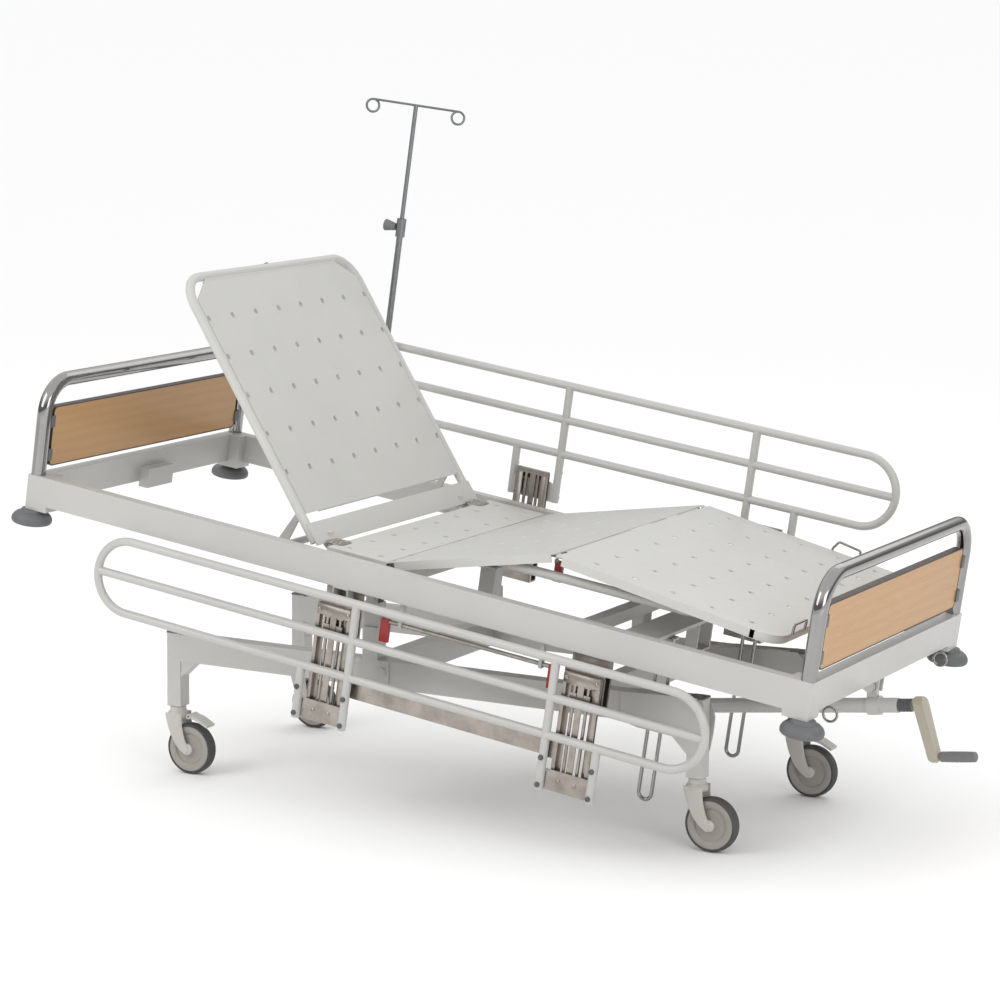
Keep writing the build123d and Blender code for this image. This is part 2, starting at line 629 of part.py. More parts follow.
with BuildPart(upper) as pole_knob:
    round_bar((POLE_U - 22, POLE_V, 623), "x", 3, 22)
    with BuildSketch(Plane(origin=in_frame(POLE_U - 14, POLE_V, 623), z_dir=U_DIR * -1)) as knob:
        Circle(9)
    extrude(knob.sketch, amount=30, taper=-11)

yaw = math.radians(18)
bar_dir = U_DIR * math.cos(yaw) + V_DIR * math.sin(yaw)
with BuildPart() as pole_rod:
    with Locations(Location(Plane(origin=in_frame(POLE_U, POLE_V, 628), z_dir=W_DIR))):
        Cylinder(5.5, 616)
    with Locations(Location(Plane(origin=in_frame(POLE_U, POLE_V, 935), z_dir=bar_dir))):
        Cylinder(3, 220)
    for end in (-110, 110):
        middle = in_frame(POLE_U, POLE_V, 919) + bar_dir * end
        with Locations(Location(Plane(origin=middle, x_dir=bar_dir, z_dir=bar_dir.cross(W_DIR)))):
            Torus(16, 3)

# ---------------------------------------------------------------- tilt screw and crank
screw_tube = Plane(origin=(CASTOR_MID_X + SCREW_END[0], 0, SCREW_END[1]), x_dir=SCREW_DIR, z_dir=SCREW_UP)
tube_end = Vector(CRANK_X - SCREW_END[0], CRANK_Z - SCREW_END[1]).length
hanger = screw_tube.to_local_coords(in_frame(SCREW_PIN[0], 0, SCREW_PIN[1]))
with BuildPart(screw_tube) as screw_housing:
    round_bar(((130 + tube_end - 36) / 2, 0, 0), "x", 17, tube_end - 166, 12)
    round_bar((tube_end - 19, 0, 0), "x", 13.5, 34, 7)
    round_bar((hanger.X, 0, 0), "x", 22, 30, 16.9)
    link_plate(base_side_plane(0), [(992.4, 355.7, 9), (992, 334, 12)], 16)
with BuildPart(upper) as hanger_bore:
    round_bar((SCREW_PIN[0], 0, SCREW_PIN[1]), "y", 5.4, 30)
screw_housing.part -= hanger_bore.part

with BuildPart(screw_tube) as screw_rod:
    round_bar((215, 0, 0), "x", 10, 400)
    round_bar((0, 0, 0), "y", 14, 16)
    round_bar((0, 0, 0), "y", 6, 44)
    round_bar((421, 0, 0), "x", 6, 16)

with BuildPart() as crank_arm:
    profile = [(2, 17), (8, 22), (20, 22), (26, 14), (50, -116), (47, -130), (34, -131), (28, -122)]
    cheek(Plane(origin=crank.origin, x_dir=crank.x_dir, z_dir=V_DIR * -1), profile, 40, 4)
    with BuildSketch(Plane(origin=crank.origin, x_dir=V_DIR, z_dir=crank.x_dir)) as front:
        Circle(20)
        with Locations((0, -116)):
            Circle(14.5)
        make_hull()
    extrude(front.sketch, amount=70, mode=Mode.INTERSECT)
with BuildPart(crank) as crank_shafts:
    round_bar((-30, 0, 0), "x", 6.5, 68)
    round_bar((92, 0, -117), "x", 5, 90)
crank_arm.part += crank_shafts.part

with BuildPart(crank) as crank_grip:
    round_bar((96, 0, -117), "x", 12.5, 86)
    fillet(crank_grip.edges(), 4)
    drill((94, 0, -117), "x", 5.4, 90)

# ---------------------------------------------------------------- output
nodes = {
    "base_frame": base_frame, "tilt_pivot_posts": tilt_pivot_posts, "leg_caps": leg_caps,
    "side_beam_near": side_beam_near, "side_beam_far": side_beam_far,
    "end_beam_head": end_beam_head, "end_beam_foot": end_beam_foot, "cross_members": cross_members,
    "corner_bumpers": corner_bumpers, "head_hoop": head_hoop, "foot_hoop": foot_hoop,
    "head_panel": head_panel, "foot_panel": foot_panel, "panel_clips": panel_clips,
    "rail_brackets": rail_brackets, "bag_hooks": bag_hooks, "corner_rings": corner_rings,
    "seat_section": seat_section, "thigh_post": thigh_post, "thigh_lift_rod": thigh_lift_rod,
    "backrest_frame": backrest_frame, "backrest_sheet": backrest_sheet,
    "backrest_lift_arms": backrest_lift_arms, "thigh_section": thigh_section,
    "calf_section": calf_section, "calf_support_frame": calf_support_frame,
    "mattress_retainers": mattress_retainers, "ratchet_outer": ratchet_outer,
    "ratchet_inner": ratchet_inner, "near_rail": near_rail, "far_rail": far_rail,
    "near_rail_sliders": near_rail_sliders, "far_rail_sliders": far_rail_sliders,
    "near_carriage": near_carriage, "far_carriage": far_carriage,
    "near_release_shaft": near_release_shaft, "far_release_shaft": far_release_shaft,
    "near_release_levers": near_release_levers, "far_release_levers": far_release_levers,
    "pole_tube": pole_tube, "pole_knob": pole_knob, "pole_rod": pole_rod,
    "screw_housing": screw_housing, "screw_rod": screw_rod,
    "crank_arm": crank_arm, "crank_grip": crank_grip,
}
for name in castors:
    nodes["castor_fork_" + name] = forks[name]
    nodes["castor_wheel_" + name] = wheels[name]
    nodes["castor_tyre_" + name] = tyres[name]
for name in pedals:
    nodes["brake_pedal_" + name] = pedals[name]

for node, built in nodes.items():
    built.part.label = node
    export_step(built.part, "parts/" + node + ".step")
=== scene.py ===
import json
import math

import bmesh
import bpy
import numpy as np
from mathutils import Matrix, Vector


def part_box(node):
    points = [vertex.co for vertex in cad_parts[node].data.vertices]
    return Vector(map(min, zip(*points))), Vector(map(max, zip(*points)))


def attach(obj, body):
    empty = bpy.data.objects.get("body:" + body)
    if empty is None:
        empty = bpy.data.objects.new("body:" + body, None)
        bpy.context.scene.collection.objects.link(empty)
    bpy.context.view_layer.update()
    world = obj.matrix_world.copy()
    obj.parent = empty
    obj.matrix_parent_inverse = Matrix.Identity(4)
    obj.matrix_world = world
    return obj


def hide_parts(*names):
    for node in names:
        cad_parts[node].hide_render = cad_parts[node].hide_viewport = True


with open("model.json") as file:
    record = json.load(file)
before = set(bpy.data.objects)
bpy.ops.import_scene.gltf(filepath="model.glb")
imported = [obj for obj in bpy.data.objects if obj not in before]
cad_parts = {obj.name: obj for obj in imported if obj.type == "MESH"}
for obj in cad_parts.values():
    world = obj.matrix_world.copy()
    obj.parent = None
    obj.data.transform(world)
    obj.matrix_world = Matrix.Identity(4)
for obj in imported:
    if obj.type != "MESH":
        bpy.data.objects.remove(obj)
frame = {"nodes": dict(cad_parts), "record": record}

bl_info = {
    "name": "Ward bed looks",
    "version": (1, 0, 0),
    "blender": (4, 5, 0),
    "location": "3D View > Sidebar > Ward bed",
    "description": "Finishes and small fittings for the adjustable ward bed",
    "category": "Object",
}

# ---------------- the bed's own directions, metres
TILT = math.radians(7.8)
U = np.array([math.cos(TILT), 0.0, -math.sin(TILT)])
V = np.array([0.0, 1.0, 0.0])
W = np.array([math.sin(TILT), 0.0, math.cos(TILT)])
CASTOR_MID = np.array([-0.0896, 0.0, 0.0])
FRAME_MID = CASTOR_MID + np.array([0.01167, 0.0, 0.58694])
BACK_LEAN = math.radians(50.3)
MM = 0.001

# Start (u, w in millimetres) and rise to the foot (degrees) of the flat deck sections.
SEAT_DECK = (0, 0, 0.0)
THIGH_DECK = (-57, 0, 16.0)
CALF_DECK = (366, 119, -5.8)
BACK_FOOT_U = -252


def on_frame(u, v, w):
    """A point stated in millimetres along, across and above the tilted frame."""
    return FRAME_MID + (u * U + v * V + w * W) * MM


def deck_axes(u, w, angle):
    """Start, direction and normal of a deck section that rises to the foot by some degrees."""
    rise = math.radians(angle)
    along = math.cos(rise) * U + math.sin(rise) * W
    normal = math.cos(rise) * W - math.sin(rise) * U
    return on_frame(u, 0, w), along, normal


def back_axes():
    """Foot, upward direction and normal of the raised backrest."""
    up_back = math.sin(BACK_LEAN) * W - math.cos(BACK_LEAN) * U
    normal = math.sin(BACK_LEAN) * U + math.cos(BACK_LEAN) * W
    return on_frame(BACK_FOOT_U, 0, 0), up_back, normal


# ---------------- surfaces from two parameters
OFF_AXIS = [0.37, 0.61, 0.7]  # a direction that none of the turned pieces has as its axis
WELD_DISTANCE = 1e-6
SHARP_ANGLE = math.radians(40)


def grid_faces(rows, cols, wrap_rows, wrap_cols):
    """Quads that join each point of a rows by cols grid to its neighbours, wrapped where asked."""
    i = np.arange(rows if wrap_rows else rows - 1)[:, None]
    j = np.arange(cols if wrap_cols else cols - 1)[None, :]
    i2, j2 = (i + 1) % rows, (j + 1) % cols
    quads = [i * cols + j, i * cols + j2, i2 * cols + j2, i2 * cols + j]
    return np.stack(quads, axis=-1).reshape(-1, 4)


def turned(profile, centre, axis, steps=48):
    """A (radius, height) profile turned round an axis: centre + r(cos a e1 + sin a e2) + h axis."""
    axis = np.asarray(axis, float)
    e1 = np.cross(axis, OFF_AXIS)
    e1 /= np.linalg.norm(e1)
    e2 = np.cross(axis, e1)
    angle = np.linspace(0, 2 * math.pi, steps, endpoint=False)
    ring = np.cos(angle)[:, None] * e1 + np.sin(angle)[:, None] * e2
    profile = np.asarray(profile, float)
    points = centre + profile[:, 0][:, None, None] * ring + profile[:, 1][:, None, None] * axis
    return points.reshape(-1, 3), grid_faces(len(profile), steps, False, True)


def pipe(path, normal, radius, steps=14):
    """A round bar along a flat path: path + r(cos a normal + sin a (tangent x normal))."""
    path = np.asarray(path, float)
    tangent = np.gradient(path, axis=0)
    tangent /= np.linalg.norm(tangent, axis=1)[:, None]
    across = np.cross(tangent, normal)
    angle = np.linspace(0, 2 * math.pi, steps, endpoint=False)
    ring = np.cos(angle)[:, None] * np.asarray(normal)
    swing = np.sin(angle)[None, :, None] * across[:, None, :]
    points = path[:, None, :] + radius * (ring[None] + swing)
    return points.reshape(-1, 3), grid_faces(len(path), steps, False, True)


def rounded_loop(width, height, radius, steps=8):
    """A rectangle with quarter-circle corners, each corner centre + r(cos a, sin a), as rows."""
    angle = np.linspace(0, math.pi / 2, steps)
    turns = []
    for k, (sx, sy) in enumerate(((1, 1), (-1, 1), (-1, -1), (1, -1))):
        a = angle + k * math.pi / 2
        centre = np.array([sx * (width / 2 - radius), sy * (height / 2 - radius)])
        turns.append(centre + radius * np.stack([np.cos(a), np.sin(a)], axis=1))
    return np.concatenate(turns)


def piece(name, parts, material, body, stands_for=()):
    """Put several surfaces into one object at the origin that rides on a body of the frame."""
    verts, faces, start = [], [], 0
    for points, quads in parts:
        verts.append(points)
        faces.append(quads + start)
        start += len(points)
    mesh = bpy.data.meshes.new(name)
    mesh.from_pydata(np.concatenate(verts).tolist(), [], np.concatenate(faces).tolist())
    shape = bmesh.new()
    shape.from_mesh(mesh)
    bmesh.ops.remove_doubles(shape, verts=shape.verts, dist=WELD_DISTANCE)
    bmesh.ops.holes_fill(shape, edges=[e for e in shape.edges if e.is_boundary], sides=0)
    bmesh.ops.recalc_face_normals(shape, faces=shape.faces)
    shape.to_mesh(mesh)
    shape.free()
    mesh.shade_smooth()
    mesh.set_sharp_from_angle(angle=SHARP_ANGLE)
    mesh.materials.append(material)
    obj = bpy.data.objects.new(name, mesh)
    bpy.context.scene.collection.objects.link(obj)
    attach(obj, body)
    if stands_for:
        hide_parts(*stands_for)
    return obj


# ---------------- shared shader effects
EFFECT_OUTPUTS = [("Colour", "NodeSocketColor"), ("Roughness", "NodeSocketFloat"),
                  ("Height", "NodeSocketFloat")]


def new_group(name, inputs):
    """An empty node group with named sockets, and its input and output nodes."""
    group = bpy.data.node_groups.new(name, "ShaderNodeTree")
    for label, kind, default in inputs:
        socket = group.interface.new_socket(label, in_out="INPUT", socket_type=kind)
        if default is not None:
            socket.default_value = default
    for label, kind in EFFECT_OUTPUTS:
        group.interface.new_socket(label, in_out="OUTPUT", socket_type=kind)
    return group, group.nodes.new("NodeGroupInput"), group.nodes.new("NodeGroupOutput")


def noise(group, vector, scale, detail, roughness):
    """A noise texture read from a vector socket; scale may be a number or a socket."""
    node = group.nodes.new("ShaderNodeTexNoise")
    node.inputs["Detail"].default_value = detail
    node.inputs["Roughness"].default_value = roughness
    group.links.new(vector, node.inputs["Vector"])
    if isinstance(scale, (int, float)):
        node.inputs["Scale"].default_value = scale
    else:
        group.links.new(scale, node.inputs["Scale"])
    return node.outputs["Fac"]


def spread(group, value, low, high, to_low, to_high):
    """Map a value from one range to another, clamped."""
    node = group.nodes.new("ShaderNodeMapRange")
    group.links.new(value, node.inputs["Value"])
    for label, number in zip(("From Min", "From Max", "To Min", "To Max"),
                             (low, high, to_low, to_high)):
        if isinstance(number, (int, float)):
            node.inputs[label].default_value = number
        else:
            group.links.new(number, node.inputs[label])
    return node.outputs["Result"]


def mix_colour(group, factor, a, b):
    """Blend two colours by a value."""
    node = group.nodes.new("ShaderNodeMix")
    node.data_type = "RGBA"
    group.links.new(factor, node.inputs["Factor"])
    group.links.new(a, node.inputs["A"])
    group.links.new(b, node.inputs["B"])
    return node.outputs["Result"]


def finish_group(group, outs, colour, roughness, height):
    """Send the three results of an effect to its outputs."""
    group.links.new(colour, outs.inputs["Colour"])
    group.links.new(roughness, outs.inputs["Roughness"])
    group.links.new(height, outs.inputs["Height"])
    return group


def coat_group():
    """Sprayed or moulded skin: slow colour drift, fine orange peel and faint handling marks."""
    group, ins, outs = new_group(
        "coat_skin",
        [("Vector", "NodeSocketVector", None), ("Colour", "NodeSocketColor", (0.8, 0.8, 0.8, 1)),
         ("Shade", "NodeSocketColor", (0.6, 0.6, 0.6, 1)), ("Peel Scale", "NodeSocketFloat", 300.0),
         ("Rough Low", "NodeSocketFloat", 0.3), ("Rough High", "NodeSocketFloat", 0.5)])
    drift = noise(group, ins.outputs["Vector"], 3.5, 4.0, 0.6)
    marks = noise(group, ins.outputs["Vector"], 38.0, 6.0, 0.7)
    peel = noise(group, ins.outputs["Vector"], ins.outputs["Peel Scale"], 2.0, 0.5)
    shade = spread(group, drift, 0.42, 0.72, 0.0, 0.55)
    tone = mix_colour(group, shade, ins.outputs["Colour"], ins.outputs["Shade"])
    specks = spread(group, marks, 0.66, 0.78, 0.0, 0.45)
    tone = mix_colour(group, specks, tone, ins.outputs["Shade"])
    rough = spread(group, marks, 0.3, 0.7, ins.outputs["Rough Low"], ins.outputs["Rough High"])
    return finish_group(group, outs, tone, rough, peel)


def brushed_group():
    """Drawn or plated metal: fine lines along one axis and cloudy dull patches."""
    group, ins, outs = new_group(
        "drawn_metal",
        [("Vector", "NodeSocketVector", None), ("Lines", "NodeSocketVector", None),
         ("Colour", "NodeSocketColor", (0.7, 0.7, 0.7, 1)),
         ("Shade", "NodeSocketColor", (0.4, 0.4, 0.4, 1)), ("Rough Low", "NodeSocketFloat", 0.15),
         ("Rough High", "NodeSocketFloat", 0.35)])
    clouds = noise(group, ins.outputs["Vector"], 24.0, 5.0, 0.65)
    lines = noise(group, ins.outputs["Lines"], 90.0, 3.0, 0.6)
    tone = mix_colour(group, spread(group, clouds, 0.4, 0.7, 0.0, 0.8), ins.outputs["Colour"],
                      ins.outputs["Shade"])
    rough = spread(group, clouds, 0.3, 0.7, ins.outputs["Rough Low"], ins.outputs["Rough High"])
    return finish_group(group, outs, tone, rough, lines)


def wood_group():
    """Flat-sawn laminate: long grain bands, thin pores along the board and a slow colour change."""
    group, ins, outs = new_group(
        "beech_grain",
        [("Vector", "NodeSocketVector", None), ("Light", "NodeSocketColor", (0.8, 0.6, 0.4, 1)),
         ("Dark", "NodeSocketColor", (0.6, 0.4, 0.2, 1))])
    stretch = group.nodes.new("ShaderNodeMapping")
    stretch.inputs["Scale"].default_value = (9.0, 0.9, 9.0)
    group.links.new(ins.outputs["Vector"], stretch.inputs["Vector"])
    bands = group.nodes.new("ShaderNodeTexWave")
    bands.wave_type = "BANDS"
    bands.bands_direction = "Z"
    bands.inputs["Scale"].default_value = 1.3
    bands.inputs["Distortion"].default_value = 5.0
    bands.inputs["Detail"].default_value = 4.0
    group.links.new(stretch.outputs["Vector"], bands.inputs["Vector"])
    fine = group.nodes.new("ShaderNodeMapping")
    fine.inputs["Scale"].default_value = (40.0, 2.2, 40.0)
    group.links.new(ins.outputs["Vector"], fine.inputs["Vector"])
    pores = noise(group, fine.outputs["Vector"], 9.0, 5.0, 0.7)
    tone = mix_colour(group, spread(group, bands.outputs["Fac"], 0.1, 0.95, 0.0, 0.22),
                      ins.outputs["Light"], ins.outputs["Dark"])
    tone = mix_colour(group, spread(group, pores, 0.52, 0.80, 0.0, 0.5), tone, ins.outputs["Dark"])
    rough = spread(group, pores, 0.3, 0.7, 0.34, 0.5)
    return finish_group(group, outs, tone, rough, pores)


GROUPS = {}


def group_node(tree, name, maker, values):
    """Place a shared effect in a material with its own values."""
    if name not in GROUPS:
        GROUPS[name] = maker()
    node = tree.nodes.new("ShaderNodeGroup")
    node.node_tree = GROUPS[name]
    for label, value in values.items():
        node.inputs[label].default_value = value
    return node


def base_material(name, metallic, bump_strength, bump_distance, coat=0.0):
    """A material with its shader, a bump and the object's own coordinates."""
    material = bpy.data.materials.new(name)
    material.use_nodes = True
    tree = material.node_tree
    shader = tree.nodes["Principled BSDF"]
    shader.inputs["Metallic"].default_value = metallic
    shader.inputs["Coat Weight"].default_value = coat
    shader.inputs["Coat Roughness"].default_value = 0.12
    bump = tree.nodes.new("ShaderNodeBump")
    bump.inputs["Strength"].default_value = bump_strength
    bump.inputs["Distance"].default_value = bump_distance
    tree.links.new(bump.outputs["Normal"], shader.inputs["Normal"])
    place = tree.nodes.new("ShaderNodeTexCoord")
    return material, tree, shader, bump, place.outputs["Object"]


def join_effect(tree, node, shader, bump):
    """Feed an effect's colour, roughness and height into the shader."""
    tree.links.new(node.outputs["Colour"], shader.inputs["Base Color"])
    tree.links.new(node.outputs["Roughness"], shader.inputs["Roughness"])
    tree.links.new(node.outputs["Height"], bump.inputs["Height"])


def coated(name, colour, shade, rough, peel=300.0, bump=0.12, coat=0.0):
    """Powder coat, plastic or rubber."""
    material, tree, shader, bump_node, place = base_material(name, 0.0, bump, 0.0006, coat)
    values = {"Colour": (*colour, 1), "Shade": (*shade, 1), "Peel Scale": peel,
              "Rough Low": rough[0], "Rough High": rough[1]}
    node = group_node(tree, "coat_skin", coat_group, values)
    tree.links.new(place, node.inputs["Vector"])
    join_effect(tree, node, shader, bump_node)
    return material


def metal(name, colour, shade, rough, stretch, bump):
    """Chromed, plated or drawn steel, with its lines along the least stretched axis."""
    material, tree, shader, bump_node, place = base_material(name, 1.0, bump, 0.0003)
    lines = tree.nodes.new("ShaderNodeMapping")
    lines.inputs["Scale"].default_value = stretch
    tree.links.new(place, lines.inputs["Vector"])
    values = {"Colour": (*colour, 1), "Shade": (*shade, 1), "Rough Low": rough[0],
              "Rough High": rough[1]}
    node = group_node(tree, "drawn_metal", brushed_group, values)
    tree.links.new(place, node.inputs["Vector"])
    tree.links.new(lines.outputs["Vector"], node.inputs["Lines"])
    join_effect(tree, node, shader, bump_node)
    return material


def beech(light, dark):
    """The satin laminate of the end boards."""
    made = base_material("beech_laminate", 0.0, 0.08, 0.0004, coat=0.25)
    material, tree, shader, bump_node, place = made
    node = group_node(tree, "beech_grain", wood_group, {"Light": (*light, 1), "Dark": (*dark, 1)})
    tree.links.new(place, node.inputs["Vector"])
    join_effect(tree, node, shader, bump_node)
    return material


# Colour, shade, roughness range, grain scale and bump strength of each coated finish.
COATS = {
    "bumper_grey": ((0.125, 0.127, 0.13), (0.09, 0.092, 0.095), (0.42, 0.6), 500.0, 0.15),
    "castor_plastic": ((0.33, 0.305, 0.28), (0.25, 0.225, 0.20), (0.4, 0.55), 450.0, 0.15),
    "castor_housing": ((0.50, 0.48, 0.45), (0.42, 0.40, 0.37), (0.35, 0.5), 450.0, 0.12),
    "castor_tread": ((0.06, 0.06, 0.062), (0.10, 0.095, 0.09), (0.6, 0.8), 600.0, 0.25),
    "board_lipping": ((0.055, 0.036, 0.026), (0.035, 0.024, 0.018), (0.35, 0.5)),
    "black_plastic": ((0.02, 0.02, 0.022), (0.035, 0.035, 0.035), (0.4, 0.55)),
    "red_plastic": ((0.36, 0.03, 0.03), (0.24, 0.02, 0.02), (0.35, 0.5)),
    "clip_grey": ((0.12, 0.12, 0.125), (0.09, 0.09, 0.09), (0.4, 0.55)),
    "crank_cream": ((0.42, 0.39, 0.315), (0.35, 0.32, 0.25), (0.32, 0.45), 350.0, 0.1),
    "grip_grey": ((0.17, 0.172, 0.175), (0.13, 0.131, 0.134), (0.45, 0.6), 450.0, 0.15),
    "dark_steel": ((0.09, 0.09, 0.095), (0.06, 0.06, 0.062), (0.35, 0.5)),
}
# Colour, shade, roughness range, squeeze of the drawn lines and bump strength of each metal.
METALS = {
    "chrome_tube": ((0.32, 0.315, 0.31), (0.29, 0.285, 0.28), (0.06, 0.09), (4, 0.3, 4), 0.01),
    "zinc": ((0.39, 0.355, 0.32), (0.27, 0.24, 0.21), (0.24, 0.42), (6, 6, 0.4), 0.1),
    "pole_steel": ((0.22, 0.225, 0.23), (0.18, 0.185, 0.19), (0.22, 0.36), (8, 8, 0.3), 0.1),
}
PAINT_SHADE, DECK_SHADE = 0.9, 0.93
MATERIALS = {}


def make_finishes(settings):
    """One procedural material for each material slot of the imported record."""
    paint, deck = tuple(settings.paint_colour), tuple(settings.deck_colour)
    paint_shade = tuple(PAINT_SHADE * c for c in paint)
    deck_shade = tuple(DECK_SHADE * c for c in deck)
    MATERIALS.update(
        painted_steel=coated("painted_steel", paint, paint_shade, (0.28, 0.42), 420.0, 0.1, 0.15),
        deck_steel=coated("deck_steel", deck, deck_shade, (0.38, 0.52), 380.0, 0.12),
        beech=beech(tuple(settings.wood_light), tuple(settings.wood_dark)))
    for name, values in COATS.items():
        MATERIALS[name] = coated(name, *values)
    for name, values in METALS.items():
        MATERIALS[name] = metal(name, *values)


# Nodes whose finish differs from their slot's, by name without the last two letters.
OWN_FINISH = {"brake_pedal_": "castor_housing"}


def dress_frame():
    """Give every CAD node the material of its slot."""
    for row in frame["record"]["subparts"]:
        node = frame["nodes"][row["node"]]
        material = MATERIALS[OWN_FINISH.get(row["node"][:-2], row["material_slot"])]
        if not node.material_slots:
            node.data.materials.append(material)
        for held in node.material_slots:
            held.material = material


# ---------------- pieces
CASTORS = {"nh": (-0.693, -0.283), "fh": (-0.693, 0.283), "nf": (0.693, -0.283),
           "ff": (0.693, 0.283)}
TRAIL, WHEEL_R = 0.039, 0.0625

# Profiles are (radius, height) in metres along the axis that they are turned round.
WHEEL_HALF = [(0.0, 0.0165), (0.009, 0.0165), (0.011, 0.0155), (0.013, 0.0125), (0.0145, 0.0110),
              (0.034, 0.0095), (0.0365, 0.0098), (0.0380, 0.0125), (0.0400, 0.0140),
              (0.0520, 0.0148), (0.0545, 0.0142), (0.0555, 0.0120)]
WHEEL_STUD = [(0.0, 0.0), (0.0022, 0.0), (0.0030, 0.0006), (0.0034, 0.0), (0.0030, -0.0006),
              (0.0, 0.0008)]
STUDS, STUD_RING, STUD_FACE = 12, 0.0232, 0.0100
TREAD_HALF = [(0.0550, 0.0125), (0.0560, 0.0146), (0.0585, 0.0148), (0.0602, 0.0135),
              (0.0613, 0.0110), (0.0619, 0.0078), (0.0612, 0.0070), (0.0621, 0.0062), (0.0625, 0.0)]
SWIVEL_HEAD = [(0.0, 0.0), (0.0175, 0.0), (0.0195, -0.002), (0.0195, -0.010), (0.0225, -0.013),
               (0.0250, -0.017), (0.0255, -0.024), (0.0240, -0.028), (0.0, -0.028)]
SWIVEL_PLATE = [(0.0, 0.0), (0.0250, 0.0), (0.0262, -0.002), (0.0262, -0.006), (0.0245, -0.008),
                (0.0, -0.008)]
PLATE_DROP = 0.0175
AXLE_BOSS = [(0.0, 0.0016), (0.0050, 0.0014), (0.0062, 0.0), (0.0110, -0.0002), (0.0132, -0.0016),
             (0.0136, -0.0042), (0.0, -0.0042)]
BOSS_SINK = 0.0016
HOUSING_TOP, CHEEK_FACE, CHEEK_WALL = 0.164, 0.0245, 0.0042
# Across an arm, as (share of its half width, share of its thickness).
ARM_SECTION = np.array([(-1.0, 0.35), (-0.9, 0.85), (-0.65, 1.0), (0.65, 1.0), (0.9, 0.85),
                        (1.0, 0.35), (0.98, 0.0), (-0.98, 0.0)])
ARM_START_DROP, ARM_DEPTH_DROP, ARM_PAST_AXLE = 0.016, 0.024, 0.008
ARM_SWEEP = 0.8
ARM_ROOT, ARM_TAPER = 0.0235, 0.0135
ARM_END_SWELL, ARM_END_AT, ARM_END_WIDTH = 0.0035, 0.97, 0.09


def wheel_place(key):
    """The middle of one castor wheel."""
    x, y = CASTORS[key]
    return CASTOR_MID + np.array([x + TRAIL, y, WHEEL_R])


def mirrored(half):
    """A profile followed by its own mirror image below the height of zero."""
    return half + [(r, -h) for r, h in reversed(half)]


def make_wheels():
    """Wheel discs with a stepped face and a ring of small studs, turned round the axle."""
    for key in CASTORS:
        middle = wheel_place(key)
        parts = [turned(mirrored(WHEEL_HALF), middle, V, steps=64)]
        for face in (-1, 1):
            for k in range(STUDS):
                a = 2 * math.pi * k / STUDS
                ring = STUD_RING * np.array([math.cos(a), 0, math.sin(a)])
                parts.append(turned(WHEEL_STUD, middle + ring + face * STUD_FACE * V, face * V,
                                    steps=12))
        piece("wheel_disc_" + key, parts, MATERIALS["castor_plastic"], "wheel_" + key,
              ("castor_wheel_" + key,))


def make_tyres():
    """Rubber treads with a crowned face and a fine groove on each side, turned round the axle."""
    profile = TREAD_HALF + [(r, -h) for r, h in reversed(TREAD_HALF[:-1])] + [TREAD_HALF[0]]
    for key in CASTORS:
        piece("tyre_" + key, [turned(profile, wheel_place(key), V, steps=72)],
              MATERIALS["castor_tread"], "wheel_" + key, ("castor_tyre_" + key,))


def housing_arm(top, axle, side):
    """One arm of a castor housing, from the swivel head back and down to the axle.

    Its spine falls by a sine while it runs back by a power of 1 - cosine. Its half width narrows
    evenly and swells at the end by a bell curve, and its thickness follows ARM_SECTION."""
    t = np.linspace(0, 1, 40)
    drop = top[2] - ARM_DEPTH_DROP - axle[2]
    spine_x = top[0] + TRAIL * (1 - np.cos(t * math.pi / 2)) ** ARM_SWEEP
    spine_z = top[2] - ARM_START_DROP - (drop + ARM_PAST_AXLE) * np.sin(t * math.pi / 2)
    swell = ARM_END_SWELL * np.exp(-((t - ARM_END_AT) / ARM_END_WIDTH) ** 2)
    half = ARM_ROOT - ARM_TAPER * t + swell
    tangent = np.stack([np.gradient(spine_x), np.gradient(spine_z)], axis=1)
    tangent /= np.linalg.norm(tangent, axis=1)[:, None]
    across, out = ARM_SECTION[:, 0], ARM_SECTION[:, 1]
    rows = np.zeros((len(t), len(ARM_SECTION), 3))
    rows[:, :, 0] = spine_x[:, None] - tangent[:, 1:] * half[:, None] * across
    rows[:, :, 2] = spine_z[:, None] + tangent[:, :1] * half[:, None] * across
    rows[:, :, 1] = top[1] + side * (CHEEK_FACE - CHEEK_WALL + CHEEK_WALL * out)
    return rows.reshape(-1, 3), grid_faces(len(t), len(ARM_SECTION), False, True)


def make_housings():
    """Castor housings: a turned head and plate, with an arm and an axle boss on each side."""
    up = np.array([0.0, 0.0, 1.0])
    for key, (x, y) in CASTORS.items():
        top = CASTOR_MID + np.array([x, y, HOUSING_TOP])
        axle = wheel_place(key)
        parts = [turned(SWIVEL_HEAD, top, up, steps=40)]
        for side in (-1, 1):
            parts.append(housing_arm(top, axle, side))
            parts.append(turned(AXLE_BOSS, axle + side * (CHEEK_FACE - BOSS_SINK) * V, side * V,
                                steps=32))
        parts.append(turned(SWIVEL_PLATE, top - PLATE_DROP * up, up, steps=40))
        piece("castor_housing_" + key, parts, MATERIALS["castor_housing"], "castor_" + key,
              ("castor_fork_" + key,))


BUFFER = [(0.0, 0.000), (0.026, 0.000), (0.028, -0.004), (0.030, -0.007), (0.038, -0.009),
          (0.044, -0.014), (0.0478, -0.020), (0.0490, -0.0255), (0.0482, -0.031), (0.0450, -0.0345),
          (0.041, -0.035), (0.038, -0.037), (0.032, -0.038), (0.0, -0.038)]
BUFFER_U, BUFFER_V, BUFFER_TOP = 1018, 434, -85


